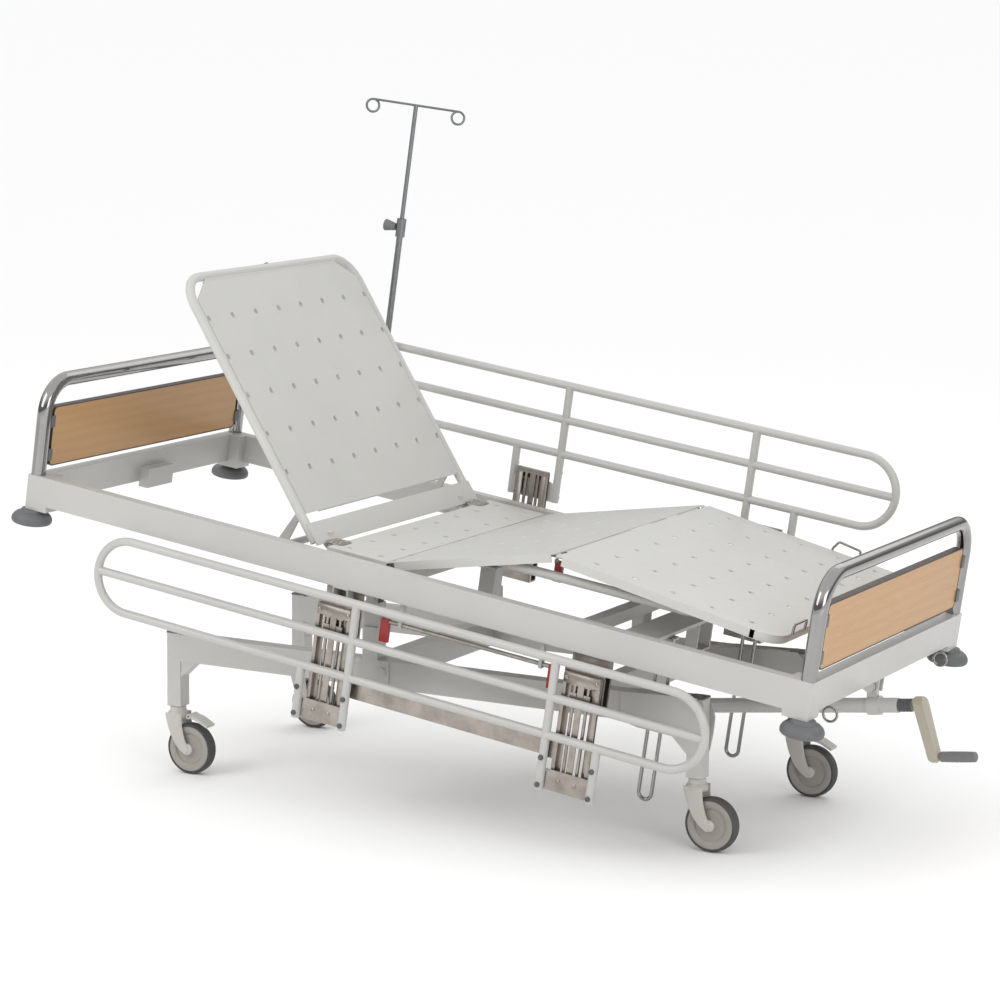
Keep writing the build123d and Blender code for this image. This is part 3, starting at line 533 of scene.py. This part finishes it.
def make_bumpers():
    """Round corner buffers, turned upright: a neck, a domed shoulder and a rolled rim."""
    parts = [turned(BUFFER, on_frame(u, v, BUFFER_TOP), W, steps=64)
             for u in (-BUFFER_U, BUFFER_U) for v in (-BUFFER_V, BUFFER_V)]
    piece("corner_buffers", parts, MATERIALS["bumper_grey"], "upper_frame",
          ("corner_bumpers",))


# Lipping section as (depth from the board's middle, distance outside its edge), millimetres.
LIPPING = ((-9.4, -2.2), (-9.9, -1.0), (-9.4, 0.5), (9.4, 0.5), (9.9, -1.0), (9.4, -2.2))
BOARD_CORNER, BOARD_THICKNESS = 0.014, 0.018


def make_board_edging():
    """Dark lipping of the end boards: a rounded rectangle carried through a six-point section."""
    for name in ("head", "foot"):
        low, high = (np.array(corner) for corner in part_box(name + "_panel"))
        middle = (low + high) / 2
        width = high[1] - low[1]
        height = (high[2] - low[2] - BOARD_THICKNESS * math.sin(TILT)) / math.cos(TILT)
        rows = []
        for depth, out in LIPPING:
            loop = rounded_loop(width + 2 * out * MM, height + 2 * out * MM,
                                BOARD_CORNER + out * MM)
            rows.append(middle + loop[:, :1] * V + loop[:, 1:] * W + depth * MM * U)
        points = np.concatenate(rows)
        piece(name + "_board_lipping", [(points, grid_faces(len(LIPPING), len(loop), True, True))],
              MATERIALS["board_lipping"], "upper_frame")


HOLE_PITCH, HOLES_ACROSS = 0.101, 8
SEAT_ROWS = (-0.180, -0.096)
THIGH_ROWS = (0.074, 0.170, 0.264, 0.358)
CALF_ROWS = (0.083, 0.180, 0.277, 0.374, 0.471)
BACK_ROWS = (0.184, 0.2855, 0.387, 0.4885, 0.590)
BACK_SHEET_DROP = 0.004
SHALLOW_COLLAR = 0.0019  # clear of the support frame that moves under the thigh and calf sections


def hole_rims(name, start, along, normal, places, body, depth):
    """Collars of 7 mm radius, each turned round its hole: over the sheet and down through it."""
    profile = [(0.0056, -depth), (0.0060, -0.6 * depth), (0.0063, -0.2 * depth), (0.0066, -0.0002),
               (0.0074, 0.0007), (0.0086, 0.0007), (0.0096, 0.0), (0.0078, -0.0014),
               (0.0070, -0.4 * depth), (0.0068, -depth), (0.0056, -depth)]
    parts = [turned(profile, start + x * along + v * V, normal, steps=18) for x, v in places]
    piece(name, parts, MATERIALS["deck_steel"], body)


def hole_places(distances):
    """A row of evenly spaced holes across the deck at each distance along it."""
    middle = (HOLES_ACROSS - 1) / 2
    return [(d, (k - middle) * HOLE_PITCH) for d in distances for k in range(HOLES_ACROSS)]


def make_hole_rims(settings):
    """The pressed rims of all four deck sections."""
    deep = settings.collar_depth
    hole_rims("seat_hole_rims", *deck_axes(*SEAT_DECK), hole_places(SEAT_ROWS), "upper_frame", deep)
    hole_rims("thigh_hole_rims", *deck_axes(*THIGH_DECK), hole_places(THIGH_ROWS), "thigh",
              SHALLOW_COLLAR)
    hole_rims("calf_hole_rims", *deck_axes(*CALF_DECK), hole_places(CALF_ROWS), "calf",
              SHALLOW_COLLAR)
    start, up_back, normal = back_axes()
    hole_rims("back_hole_rims", start - BACK_SHEET_DROP * normal, up_back, normal,
              hole_places(BACK_ROWS), "backrest", deep)


# Rail mechanisms, in millimetres on the tilted frame.
RAIL_POSTS = (-203, -78, 438, 565)
LIFTS = (-140.5, 501.5)
NEAR_TOP, FAR_TOP, FAR_MID = -91, 315, 112
RAIL_HEIGHT = 300
RAIL_FACE = 481.0
RAIL_BOLT = [(0.0, 0.0048), (0.0030, 0.0044), (0.0052, 0.0030), (0.0062, 0.0010), (0.0062, -0.0020),
             (0.0, -0.0020)]
RAIL_BOLT_RISES = (12, 75)
LIFT_BOLT = [(0.0, 0.0030), (0.0030, 0.0026), (0.0050, 0.0012), (0.0054, -0.0006), (0.0, -0.0006)]
OUTER_RIBS = ((-8.0, 8.0), (-46.0, -37.4), (37.4, 46.0))
INNER_RIBS = ((-46.0, -26.0), (26.0, 46.0))
OUTER_DEPTH, INNER_DEPTH = (455.6, 458.2), (449.1, 450.3)
CAP_DEPTH, FOOT_DEPTH = (458.7, 459.9), (464.0, 465.6)
RIB_RISE, CAP_RISE, FOOT_RISE = (6, 274), (252, 277), (2, 50)
CAP_HALF, FOOT_HALF = 45, 54
CAP_BOLTS, CAP_BOLT_RISE = (-38, 38), 264
FOOT_BOLTS, FOOT_BOLT_RISE = (-20, 20), 26


def make_rail_bolts():
    """Domed bolt heads near the foot of every rail post."""
    for name, side, top in (("near", -1, NEAR_TOP), ("far", 1, FAR_TOP)):
        parts = []
        for u in RAIL_POSTS:
            for rise in RAIL_BOLT_RISES:
                spot = on_frame(u, side * RAIL_FACE, top - RAIL_HEIGHT + rise)
                parts.append(turned(RAIL_BOLT, spot, side * V, steps=20))
        piece(name + "_rail_bolt_heads", parts, MATERIALS["dark_steel"], name + "_rail_body")


def strip(low, high):
    """A thin plate between two (u, v, w) corners in millimetres: a rounded rectangle carried
    through the thickness and drawn in by 0.3 mm at both faces."""
    low, high = np.asarray(low, float), np.asarray(high, float)
    size = high - low
    thin = int(np.argmin(size))
    wide, tall = [k for k in range(3) if k != thin]
    loop = rounded_loop(size[wide], size[tall], min(size[wide], size[tall]) * 0.22, 5)
    rows = []
    for level, inset in ((0.0, 0.6), (0.25, 0.0), (0.75, 0.0), (1.0, 0.6)):
        ring = np.zeros((len(loop), 3))
        shrink = 1 - inset / size[[wide, tall]]
        ring[:, wide] = (low[wide] + high[wide]) / 2 + loop[:, 0] * shrink[0]
        ring[:, tall] = (low[tall] + high[tall]) / 2 + loop[:, 1] * shrink[1]
        ring[:, thin] = low[thin] + level * size[thin]
        rows.append(ring)
    points = np.concatenate(rows)
    placed = FRAME_MID + (points[:, :1] * U + points[:, 1:2] * V + points[:, 2:] * W) * MM
    return placed, grid_faces(len(rows), len(loop), False, True)


def side_strip(side, depth, u_range, w_range):
    """A thin upright plate on one side of the bed, its depth counted outwards from the middle."""
    v_low, v_high = sorted((side * depth[0], side * depth[1]))
    return strip((u_range[0], v_low, w_range[0]), (u_range[1], v_high, w_range[1]))


def make_lift_plates():
    """Zinc plates of the rail mechanisms: channels on the carriages, foot plates on the rails."""
    for name, side, carriage_top, rail_top in (("near", -1, NEAR_TOP, NEAR_TOP),
                                               ("far", 1, FAR_MID, FAR_TOP)):
        channels, plates = [], []
        low, rail_low = carriage_top - RAIL_HEIGHT, rail_top - RAIL_HEIGHT
        ribs = (low + RIB_RISE[0], low + RIB_RISE[1])
        for u in LIFTS:
            for left, right in OUTER_RIBS:
                channels.append(side_strip(side, OUTER_DEPTH, (u + left, u + right), ribs))
            for left, right in INNER_RIBS:
                channels.append(side_strip(side, INNER_DEPTH, (u + left, u + right), ribs))
            channels.append(side_strip(side, CAP_DEPTH, (u - CAP_HALF, u + CAP_HALF),
                                       (low + CAP_RISE[0], low + CAP_RISE[1])))
            for gap in CAP_BOLTS:
                spot = on_frame(u + gap, side * CAP_DEPTH[1], low + CAP_BOLT_RISE)
                channels.append(turned(LIFT_BOLT, spot, side * V, steps=16))
            plates.append(side_strip(side, FOOT_DEPTH, (u - FOOT_HALF, u + FOOT_HALF),
                                     (rail_low + FOOT_RISE[0], rail_low + FOOT_RISE[1])))
            for gap in FOOT_BOLTS:
                spot = on_frame(u + gap, side * FOOT_DEPTH[1], rail_low + FOOT_BOLT_RISE)
                plates.append(turned(LIFT_BOLT, spot, side * V, steps=16))
        piece(name + "_lift_channels", channels, MATERIALS["zinc"], name + "_carriage_body")
        piece(name + "_foot_plates", plates, MATERIALS["zinc"], name + "_rail_body")


CALF_LENGTH, CALF_HALF_WIDTH, CALF_CORNER = 555, 400, 55
FOLD_START, FOLD_DEPTH, FOLD_WALL = 488, 20.0, 1.6


def make_calf_fold():
    """The folded front edge of the calf sheet: its rounded outline carried straight down."""
    start, along, normal = deck_axes(*CALF_DECK)
    angle = np.linspace(0, math.pi / 2, 12)
    bend = np.stack([CALF_LENGTH - CALF_CORNER + CALF_CORNER * np.sin(angle),
                     CALF_CORNER - CALF_HALF_WIDTH - CALF_CORNER * np.cos(angle)], axis=1)
    side = np.concatenate([[[FOLD_START, -CALF_HALF_WIDTH]], bend])
    outline = np.concatenate([side, side[::-1] * (1, -1)])
    inner = outline.copy()
    inner[:, 0] -= FOLD_WALL * np.concatenate([[0], np.sin(angle), np.sin(angle)[::-1], [0]])
    inner[:, 1] += FOLD_WALL * np.concatenate([[1], np.cos(angle), -np.cos(angle)[::-1], [-1]])
    middle = (outline + inner) / 2
    rows = []
    for loop, depth in ((outline, -0.6), (outline, 1 - FOLD_DEPTH), (middle, -FOLD_DEPTH),
                        (inner, 1 - FOLD_DEPTH), (inner, -0.6)):
        rows.append(start + (loop[:, :1] * along + loop[:, 1:] * V + depth * normal) * MM)
    faces = grid_faces(len(rows), len(outline), True, False)
    piece("calf_front_fold", [(np.concatenate(rows), faces)], MATERIALS["deck_steel"], "calf")


HANGER_BOLT = [(0.0, 0.0060), (0.0050, 0.0058), (0.0062, 0.0046), (0.0066, 0.0036),
               (0.0110, 0.0034), (0.0132, 0.0024), (0.0138, 0.0), (0.0138, -0.0012), (0.0, -0.0012)]
HANGER_U, HANGER_HALF, HANGER_W = 1003, 16, -96


def make_hanger_bolt():
    """The bolt head on each side of the screw hanger: a stepped dome turned about V."""
    parts = []
    for side in (-1, 1):
        spot = on_frame(HANGER_U, side * HANGER_HALF, HANGER_W)
        parts.append(turned(HANGER_BOLT, spot, side * V, steps=32))
    piece("hanger_bolts", parts, MATERIALS["grip_grey"], "upper_frame")


BACK_FOLD_HALF = 0.293
# Section of the fold, as (distance up the backrest, distance out of it).
BACK_FOLD = ((0.6850, -0.0040), (0.6880, -0.0030), (0.6905, -0.0035), (0.6920, -0.0070),
             (0.6850, -0.0075))


def make_back_weld():
    """The folded top edge of the backrest sheet: a flat section carried across the bed."""
    start, up_back, normal = back_axes()
    across = np.linspace(-BACK_FOLD_HALF, BACK_FOLD_HALF, 30)[:, None]
    points = np.concatenate([start + across * V + s * up_back + n * normal for s, n in BACK_FOLD])
    piece("back_sheet_fold", [(points, grid_faces(len(BACK_FOLD), len(across), True, False))],
          MATERIALS["deck_steel"], "backrest")


KNEE_PIN = (366.5, 113.9)
KNEE_ROLLS = ((-388, -374), (-345, 345), (374, 388))


def make_knee_roll(settings):
    """The rolled edge that closes the knee: capped tubes turned round the knee pin, with a gap
    on each side for the support frame to pass."""
    radius, cap = settings.knee_radius, 0.0008
    parts = []
    for start, end in KNEE_ROLLS:
        half = (end - start) / 2 * MM
        profile = [(0.0, -half), (radius - 0.0009, -half), (radius, cap - half),
                   (radius, half - cap), (radius - 0.0009, half), (0.0, half)]
        middle = on_frame(KNEE_PIN[0], (start + end) / 2, KNEE_PIN[1])
        parts.append(turned(profile, middle, V, steps=28))
    piece("knee_roll", parts, MATERIALS["deck_steel"], "thigh")


HOOK_U, HOOK_V, HOOK_HALF, HOOK_BEND = 593, 238, 16, -410
HOOK_RISES = (-400.0, -150.0, -40.0)
HOOK_PLATE_U, HOOK_PLATE_V, HOOK_PLATE_LOW, HOOK_PLATE_HIGH = 25, 9, -44, -38


def make_bag_hooks(settings):
    """Two long hooks under small plates: a round bar down, round a half circle and up again."""
    turn = np.linspace(math.pi, 2 * math.pi, 20)
    loop = [(-HOOK_HALF, w) for w in reversed(HOOK_RISES)]
    loop += [(HOOK_HALF * math.cos(a), HOOK_BEND + HOOK_HALF * math.sin(a)) for a in turn]
    loop += [(HOOK_HALF, w) for w in HOOK_RISES]
    parts = []
    for v in (-HOOK_V, HOOK_V):
        path = np.array([on_frame(HOOK_U + x, v, w) for x, w in loop])
        parts.append(pipe(path, V, settings.hook_bar))
        parts.append(strip((HOOK_U - HOOK_PLATE_U, v - HOOK_PLATE_V, HOOK_PLATE_LOW),
                           (HOOK_U + HOOK_PLATE_U, v + HOOK_PLATE_V, HOOK_PLATE_HIGH)))
    piece("bag_hook_bars", parts, MATERIALS["chrome_tube"], "upper_frame",
          ("bag_hooks",))


DECK_BOLT = [(0.0, 0.0034), (0.0030, 0.0030), (0.0050, 0.0016), (0.0056, 0.0), (0.0056, -0.0012),
             (0.0, -0.0012)]
HINGE_U, HINGE_V, HINGE_HALF = (-246, -200), 332, 26
HINGE_LOW, HINGE_TOP = 0.2, 2.0
HINGE_BOLTS = ((-212, -14), (-212, 14), (-234, -14), (-234, 14))
KNEE_BOLT = (372.0, 400.0, 107.5)


def make_deck_fittings():
    """Zinc hinge plates at the foot of the backrest and bolt heads at both ends of the knee pin."""
    plates = []
    for v in (-HINGE_V, HINGE_V):
        plates.append(strip((HINGE_U[0], v - HINGE_HALF, HINGE_LOW),
                            (HINGE_U[1], v + HINGE_HALF, HINGE_TOP)))
        for u, gap in HINGE_BOLTS:
            plates.append(turned(DECK_BOLT, on_frame(u, v + gap, HINGE_TOP), W, steps=16))
    piece("back_hinge_plates", plates, MATERIALS["zinc"], "upper_frame")
    u, v, w = KNEE_BOLT
    bolts = [turned(DECK_BOLT, on_frame(u, side * v, w), side * V, steps=16) for side in (-1, 1)]
    piece("knee_bolts", bolts, MATERIALS["dark_steel"], "calf")


CRANK_RUN = np.array([661.0, 0.0, 79.0])
CRANK_AXIS = CRANK_RUN / np.linalg.norm(CRANK_RUN)
CRANK_UP = np.array([-CRANK_AXIS[2], 0.0, CRANK_AXIS[0]])
CRANK_HUB = CASTOR_MID + np.array([1.091, 0, 0.320])
SLEEVE_BACK, SLEEVE_BORE, SLEEVE_LENGTH = 0.0365, 0.0085, 0.034
SLEEVE_RADIUS, SLEEVE_GROOVE, SLEEVE_WAVES = 0.0150, 0.0012, 4
GRIP_AHEAD, GRIP_DROP, GRIP_LENGTH = 0.053, 0.117, 0.0862
GRIP_RADIUS, GRIP_SWELL, GRIP_GROOVE, GRIP_WAVES = 0.0118, 0.0007, 0.0005, 8
GRIP_END, GRIP_END_DROP = 0.93, 0.55


def make_crank_sleeve():
    """The dark sleeve before the crank arm: a cylinder whose radius drops wherever a cosine along
    its length is near its top."""
    length = np.linspace(0, 1, 40)
    wave = np.cos(2 * math.pi * SLEEVE_WAVES * length)
    radius = SLEEVE_RADIUS - SLEEVE_GROOVE * (wave > 0.8)
    profile = [(SLEEVE_BORE, 0.0)] + [(r, 0.0005 + t * 0.033) for r, t in zip(radius, length)]
    profile += [(SLEEVE_BORE, SLEEVE_LENGTH), (SLEEVE_BORE, 0.0)]
    start = CRANK_HUB - SLEEVE_BACK * CRANK_AXIS
    piece("crank_sleeve", [turned(profile, start, CRANK_AXIS, steps=40)], MATERIALS["dark_steel"],
          "screw_tube")


def make_crank_grip():
    """The turned hand grip: a barrel swollen by a sine, with finger grooves and an elliptic end."""
    start = CRANK_HUB + GRIP_AHEAD * CRANK_AXIS - GRIP_DROP * CRANK_UP
    length = np.linspace(0, 1, 60)
    swell = GRIP_SWELL * np.sin(length * math.pi)
    grooves = GRIP_GROOVE * (np.cos(2 * math.pi * GRIP_WAVES * length) > 0.72)
    past = np.clip((length - GRIP_END) / (1 - GRIP_END), 0, 1)
    radius = (GRIP_RADIUS + swell - grooves) * np.sqrt(1 - GRIP_END_DROP * past ** 2)
    profile = [(0.0, 0.0), (0.0095, 0.0)]
    profile += [(r, 0.0015 + t * 0.0845) for r, t in zip(radius, length)]
    profile += [(0.0, GRIP_LENGTH)]
    piece("crank_hand_grip", [turned(profile, start, CRANK_AXIS, steps=40)], MATERIALS["grip_grey"],
          "crank_handle", ("crank_grip",))


TOP_STOP = [(0.0, 0.0030), (0.004, 0.0026), (0.0065, 0.0012), (0.0072, -0.0015), (0.0, -0.0015)]
TOP_STOP_RISE, TOP_STOP_DROP = 0.7095, 0.011


def make_back_plug():
    """The small dark stop in the middle of the backrest's top tube."""
    start, up_back, normal = back_axes()
    spot = start + TOP_STOP_RISE * up_back - TOP_STOP_DROP * normal
    piece("back_top_stop", [turned(TOP_STOP, spot, up_back, steps=24)], MATERIALS["clip_grey"],
          "backrest")


# ---------------- floor, light and camera
HORIZON_GREY, ZENITH_WHITE = (0.28, 0.28, 0.285, 1), (1.13, 1.13, 1.13, 1)
HORIZON_RISE, ZENITH_RISE = 0.20, 0.50
# Name, place, size and power of each area lamp.
LAMPS = (("key", (-2.6, -4.2, 3.2), 3.0, 70), ("fill", (4.8, -3.0, 1.9), 2.6, 70),
         ("back", (0.5, 4.5, 4.2), 3.5, 25))
LAMP_TARGET = Vector((0.0, 0.0, 0.5))
CAMERA_ANGLES = (28.37, 9.28, 0.62)  # azimuth, elevation and roll, degrees
CAMERA_SENSOR, CAMERA_LENS = 36.0, 115.62
CAMERA_BACK, CAMERA_RIGHT, CAMERA_UP = 7.655, 0.0303, 0.1869


def make_floor():
    """A wide pale disc, turned about the upright axis, that the bed stands on."""
    rings = [(0.0, 0.0), (4.0, 0.0), (40.0, 0.0), (400.0, 0.0)]
    points, quads = turned(rings, np.zeros(3), [0, 0, 1], steps=64)
    mesh = bpy.data.meshes.new("floor")
    mesh.from_pydata(points.tolist(), [], quads.tolist())
    floor = bpy.data.objects.new("floor", mesh)
    bpy.context.scene.collection.objects.link(floor)
    mesh.materials.append(coated("studio_floor", (0.97, 0.97, 0.97), (0.965, 0.965, 0.965),
                                 (0.8, 0.9), 60.0, 0.01))


def make_sky():
    """A studio sky that is grey near the horizon and white above."""
    world = bpy.data.worlds.new("studio")
    bpy.context.scene.world = world
    world.use_nodes = True
    tree = world.node_tree
    sky = tree.nodes["Background"]
    sky.inputs["Strength"].default_value = 1.0
    place = tree.nodes.new("ShaderNodeTexCoord")
    split = tree.nodes.new("ShaderNodeSeparateXYZ")
    rise = tree.nodes.new("ShaderNodeMapRange")
    ramp = tree.nodes.new("ShaderNodeMix")
    ramp.data_type = "RGBA"
    ramp.inputs["A"].default_value = HORIZON_GREY
    ramp.inputs["B"].default_value = ZENITH_WHITE
    rise.inputs["From Min"].default_value = HORIZON_RISE
    rise.inputs["From Max"].default_value = ZENITH_RISE
    tree.links.new(place.outputs["Generated"], split.inputs["Vector"])
    tree.links.new(split.outputs["Z"], rise.inputs["Value"])
    tree.links.new(rise.outputs["Result"], ramp.inputs["Factor"])
    tree.links.new(ramp.outputs["Result"], sky.inputs["Color"])


def make_lamps():
    """Three large area lamps that face the middle of the bed."""
    for name, spot, size, power in LAMPS:
        data = bpy.data.lights.new(name, "AREA")
        data.size = size
        data.energy = power
        lamp = bpy.data.objects.new(name, data)
        lamp.location = spot
        lamp.rotation_euler = (LAMP_TARGET - Vector(spot)).to_track_quat("-Z", "Y").to_euler()
        bpy.context.scene.collection.objects.link(lamp)


def make_camera():
    """A long lens that looks along the bed from beside its near foot corner."""
    azimuth, elevation, roll = (math.radians(a) for a in CAMERA_ANGLES)
    back = Vector((math.sin(azimuth) * math.cos(elevation),
                   -math.cos(azimuth) * math.cos(elevation), math.sin(elevation)))
    right = Vector((math.cos(azimuth), math.sin(azimuth), 0.0))
    up = back.cross(right)
    turned_right = right * math.cos(roll) + up * math.sin(roll)
    turned_up = up * math.cos(roll) - right * math.sin(roll)
    data = bpy.data.cameras.new("camera")
    data.sensor_width = CAMERA_SENSOR
    data.lens = CAMERA_LENS
    data.clip_end = 1000.0
    camera = bpy.data.objects.new("camera", data)
    turn = Matrix((turned_right, turned_up, back)).transposed().to_4x4()
    spot = Vector(CASTOR_MID) + LAMP_TARGET + CAMERA_BACK * back
    spot += CAMERA_RIGHT * right + CAMERA_UP * up
    camera.matrix_world = Matrix.Translation(spot) @ turn
    bpy.context.scene.collection.objects.link(camera)
    bpy.context.scene.camera = camera
    bpy.context.scene.view_settings.view_transform = "Standard"


def make_stage():
    """The floor, the sky, the lamps and the camera."""
    make_floor()
    make_sky()
    make_lamps()
    make_camera()


# ---------------- add-on classes
class WardBedSettings(bpy.types.PropertyGroup):
    """Sizes and colours a user would change."""

    paint_colour: bpy.props.FloatVectorProperty(
        name="Paint", description="Powder coat of the frame and rails", subtype="COLOR", size=3,
        min=0, max=1, default=(0.475, 0.47, 0.45))
    deck_colour: bpy.props.FloatVectorProperty(
        name="Deck", description="Coating of the deck sections", subtype="COLOR", size=3,
        min=0, max=1, default=(0.53, 0.527, 0.50))
    wood_light: bpy.props.FloatVectorProperty(
        name="Board, light", description="Light grain of the end boards", subtype="COLOR", size=3,
        min=0, max=1, default=(0.47, 0.262, 0.10))
    wood_dark: bpy.props.FloatVectorProperty(
        name="Board, dark", description="Dark grain of the end boards", subtype="COLOR", size=3,
        min=0, max=1, default=(0.37, 0.195, 0.068))
    collar_depth: bpy.props.FloatProperty(
        name="Collar depth", description="Depth of the hole collars of the seat and back sections",
        unit="LENGTH", min=0.002, max=0.012, default=0.010)
    knee_radius: bpy.props.FloatProperty(
        name="Knee roll", description="Radius of the rolled edge at the knee",
        unit="LENGTH", min=0.003, max=0.006, default=0.0049)
    hook_bar: bpy.props.FloatProperty(
        name="Hook bar", description="Radius of the round bar of the bag hooks",
        unit="LENGTH", min=0.003, max=0.006, default=0.0045)


class MakeFinishes(bpy.types.Operator):
    """Make the materials from the settings and dress the CAD nodes."""

    bl_idname = "wardbed.finishes"
    bl_label = "Finishes"

    def execute(self, context):
        make_finishes(context.scene.ward_bed)
        dress_frame()
        return {"FINISHED"}


class MakeWheels(bpy.types.Operator):
    """Make the four wheel discs."""

    bl_idname = "wardbed.wheels"
    bl_label = "Wheel discs"

    def execute(self, context):
        make_wheels()
        return {"FINISHED"}


class MakeTyres(bpy.types.Operator):
    """Make the four rubber treads."""

    bl_idname = "wardbed.tyres"
    bl_label = "Tyres"

    def execute(self, context):
        make_tyres()
        return {"FINISHED"}


class MakeHousings(bpy.types.Operator):
    """Make the four castor housings."""

    bl_idname = "wardbed.housings"
    bl_label = "Castor housings"

    def execute(self, context):
        make_housings()
        return {"FINISHED"}


class MakeBuffers(bpy.types.Operator):
    """Make the four corner buffers."""

    bl_idname = "wardbed.buffers"
    bl_label = "Corner buffers"

    def execute(self, context):
        make_bumpers()
        return {"FINISHED"}


class MakeBoards(bpy.types.Operator):
    """Make the lipping of the end boards."""

    bl_idname = "wardbed.boards"
    bl_label = "Board lipping"

    def execute(self, context):
        make_board_edging()
        return {"FINISHED"}


class MakeHoleRims(bpy.types.Operator):
    """Make the pressed rims of the deck holes."""

    bl_idname = "wardbed.rims"
    bl_label = "Hole rims"

    def execute(self, context):
        make_hole_rims(context.scene.ward_bed)
        return {"FINISHED"}


class MakeRailBolts(bpy.types.Operator):
    """Make the bolt heads on the rail posts."""

    bl_idname = "wardbed.bolts"
    bl_label = "Rail bolts"

    def execute(self, context):
        make_rail_bolts()
        return {"FINISHED"}


class MakeLiftPlates(bpy.types.Operator):
    """Make the zinc plates of the rail mechanisms."""

    bl_idname = "wardbed.lifts"
    bl_label = "Lift plates"

    def execute(self, context):
        make_lift_plates()
        return {"FINISHED"}


class MakeCalfFold(bpy.types.Operator):
    """Make the folded front edge of the calf sheet."""

    bl_idname = "wardbed.fold"
    bl_label = "Calf fold"

    def execute(self, context):
        make_calf_fold()
        return {"FINISHED"}


class MakeHangerBolts(bpy.types.Operator):
    """Make the bolt heads of the screw hanger."""

    bl_idname = "wardbed.bolt"
    bl_label = "Hanger bolts"

    def execute(self, context):
        make_hanger_bolt()
        return {"FINISHED"}


class MakeBackFold(bpy.types.Operator):
    """Make the folded top edge of the backrest sheet."""

    bl_idname = "wardbed.weld"
    bl_label = "Backrest fold"

    def execute(self, context):
        make_back_weld()
        return {"FINISHED"}


class MakeKneeRoll(bpy.types.Operator):
    """Make the rolled edge at the knee."""

    bl_idname = "wardbed.knee"
    bl_label = "Knee roll"

    def execute(self, context):
        make_knee_roll(context.scene.ward_bed)
        return {"FINISHED"}


class MakeBagHooks(bpy.types.Operator):
    """Make the two long bag hooks."""

    bl_idname = "wardbed.hooks"
    bl_label = "Bag hooks"

    def execute(self, context):
        make_bag_hooks(context.scene.ward_bed)
        return {"FINISHED"}


class MakeDeckFittings(bpy.types.Operator):
    """Make the hinge plates and knee bolts."""

    bl_idname = "wardbed.fittings"
    bl_label = "Deck fittings"

    def execute(self, context):
        make_deck_fittings()
        return {"FINISHED"}


class MakeCrankSleeve(bpy.types.Operator):
    """Make the dark sleeve before the crank arm."""

    bl_idname = "wardbed.sleeve"
    bl_label = "Crank sleeve"

    def execute(self, context):
        make_crank_sleeve()
        return {"FINISHED"}


class MakeCrankGrip(bpy.types.Operator):
    """Make the hand grip of the crank."""

    bl_idname = "wardbed.grip"
    bl_label = "Crank grip"

    def execute(self, context):
        make_crank_grip()
        return {"FINISHED"}


class MakeBackStop(bpy.types.Operator):
    """Make the stop in the backrest's top tube."""

    bl_idname = "wardbed.stop"
    bl_label = "Backrest stop"

    def execute(self, context):
        make_back_plug()
        return {"FINISHED"}


class MakeStage(bpy.types.Operator):
    """Make the floor, lights and camera."""

    bl_idname = "wardbed.stage"
    bl_label = "Stage"

    def execute(self, context):
        make_stage()
        return {"FINISHED"}


OPERATORS = [MakeFinishes, MakeWheels, MakeTyres, MakeHousings, MakeBuffers, MakeBoards,
             MakeHoleRims, MakeRailBolts, MakeLiftPlates, MakeCalfFold, MakeHangerBolts,
             MakeBackFold, MakeKneeRoll, MakeBagHooks, MakeDeckFittings, MakeCrankSleeve,
             MakeCrankGrip, MakeBackStop, MakeStage]


class WARDBED_PT_panel(bpy.types.Panel):
    """Lists the makers in the sidebar."""

    bl_idname = "WARDBED_PT_panel"
    bl_label = "Ward bed"
    bl_space_type = "VIEW_3D"
    bl_region_type = "UI"
    bl_category = "Ward bed"

    def draw(self, context):
        for name in WardBedSettings.__annotations__:
            self.layout.prop(context.scene.ward_bed, name)
        for cls in OPERATORS:
            self.layout.operator(cls.bl_idname)


def register():
    """Add the settings, the operators and the panel."""
    bpy.utils.register_class(WardBedSettings)
    bpy.types.Scene.ward_bed = bpy.props.PointerProperty(type=WardBedSettings)
    for cls in OPERATORS + [WARDBED_PT_panel]:
        bpy.utils.register_class(cls)


def unregister():
    """Remove what register added."""
    for cls in reversed(OPERATORS + [WARDBED_PT_panel]):
        bpy.utils.unregister_class(cls)
    del bpy.types.Scene.ward_bed
    bpy.utils.unregister_class(WardBedSettings)


def main():
    """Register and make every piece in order."""
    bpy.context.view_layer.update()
    register()
    for cls in OPERATORS:
        getattr(bpy.ops.wardbed, cls.bl_idname.split(".")[1])()


if __name__ == "__main__":
    main()
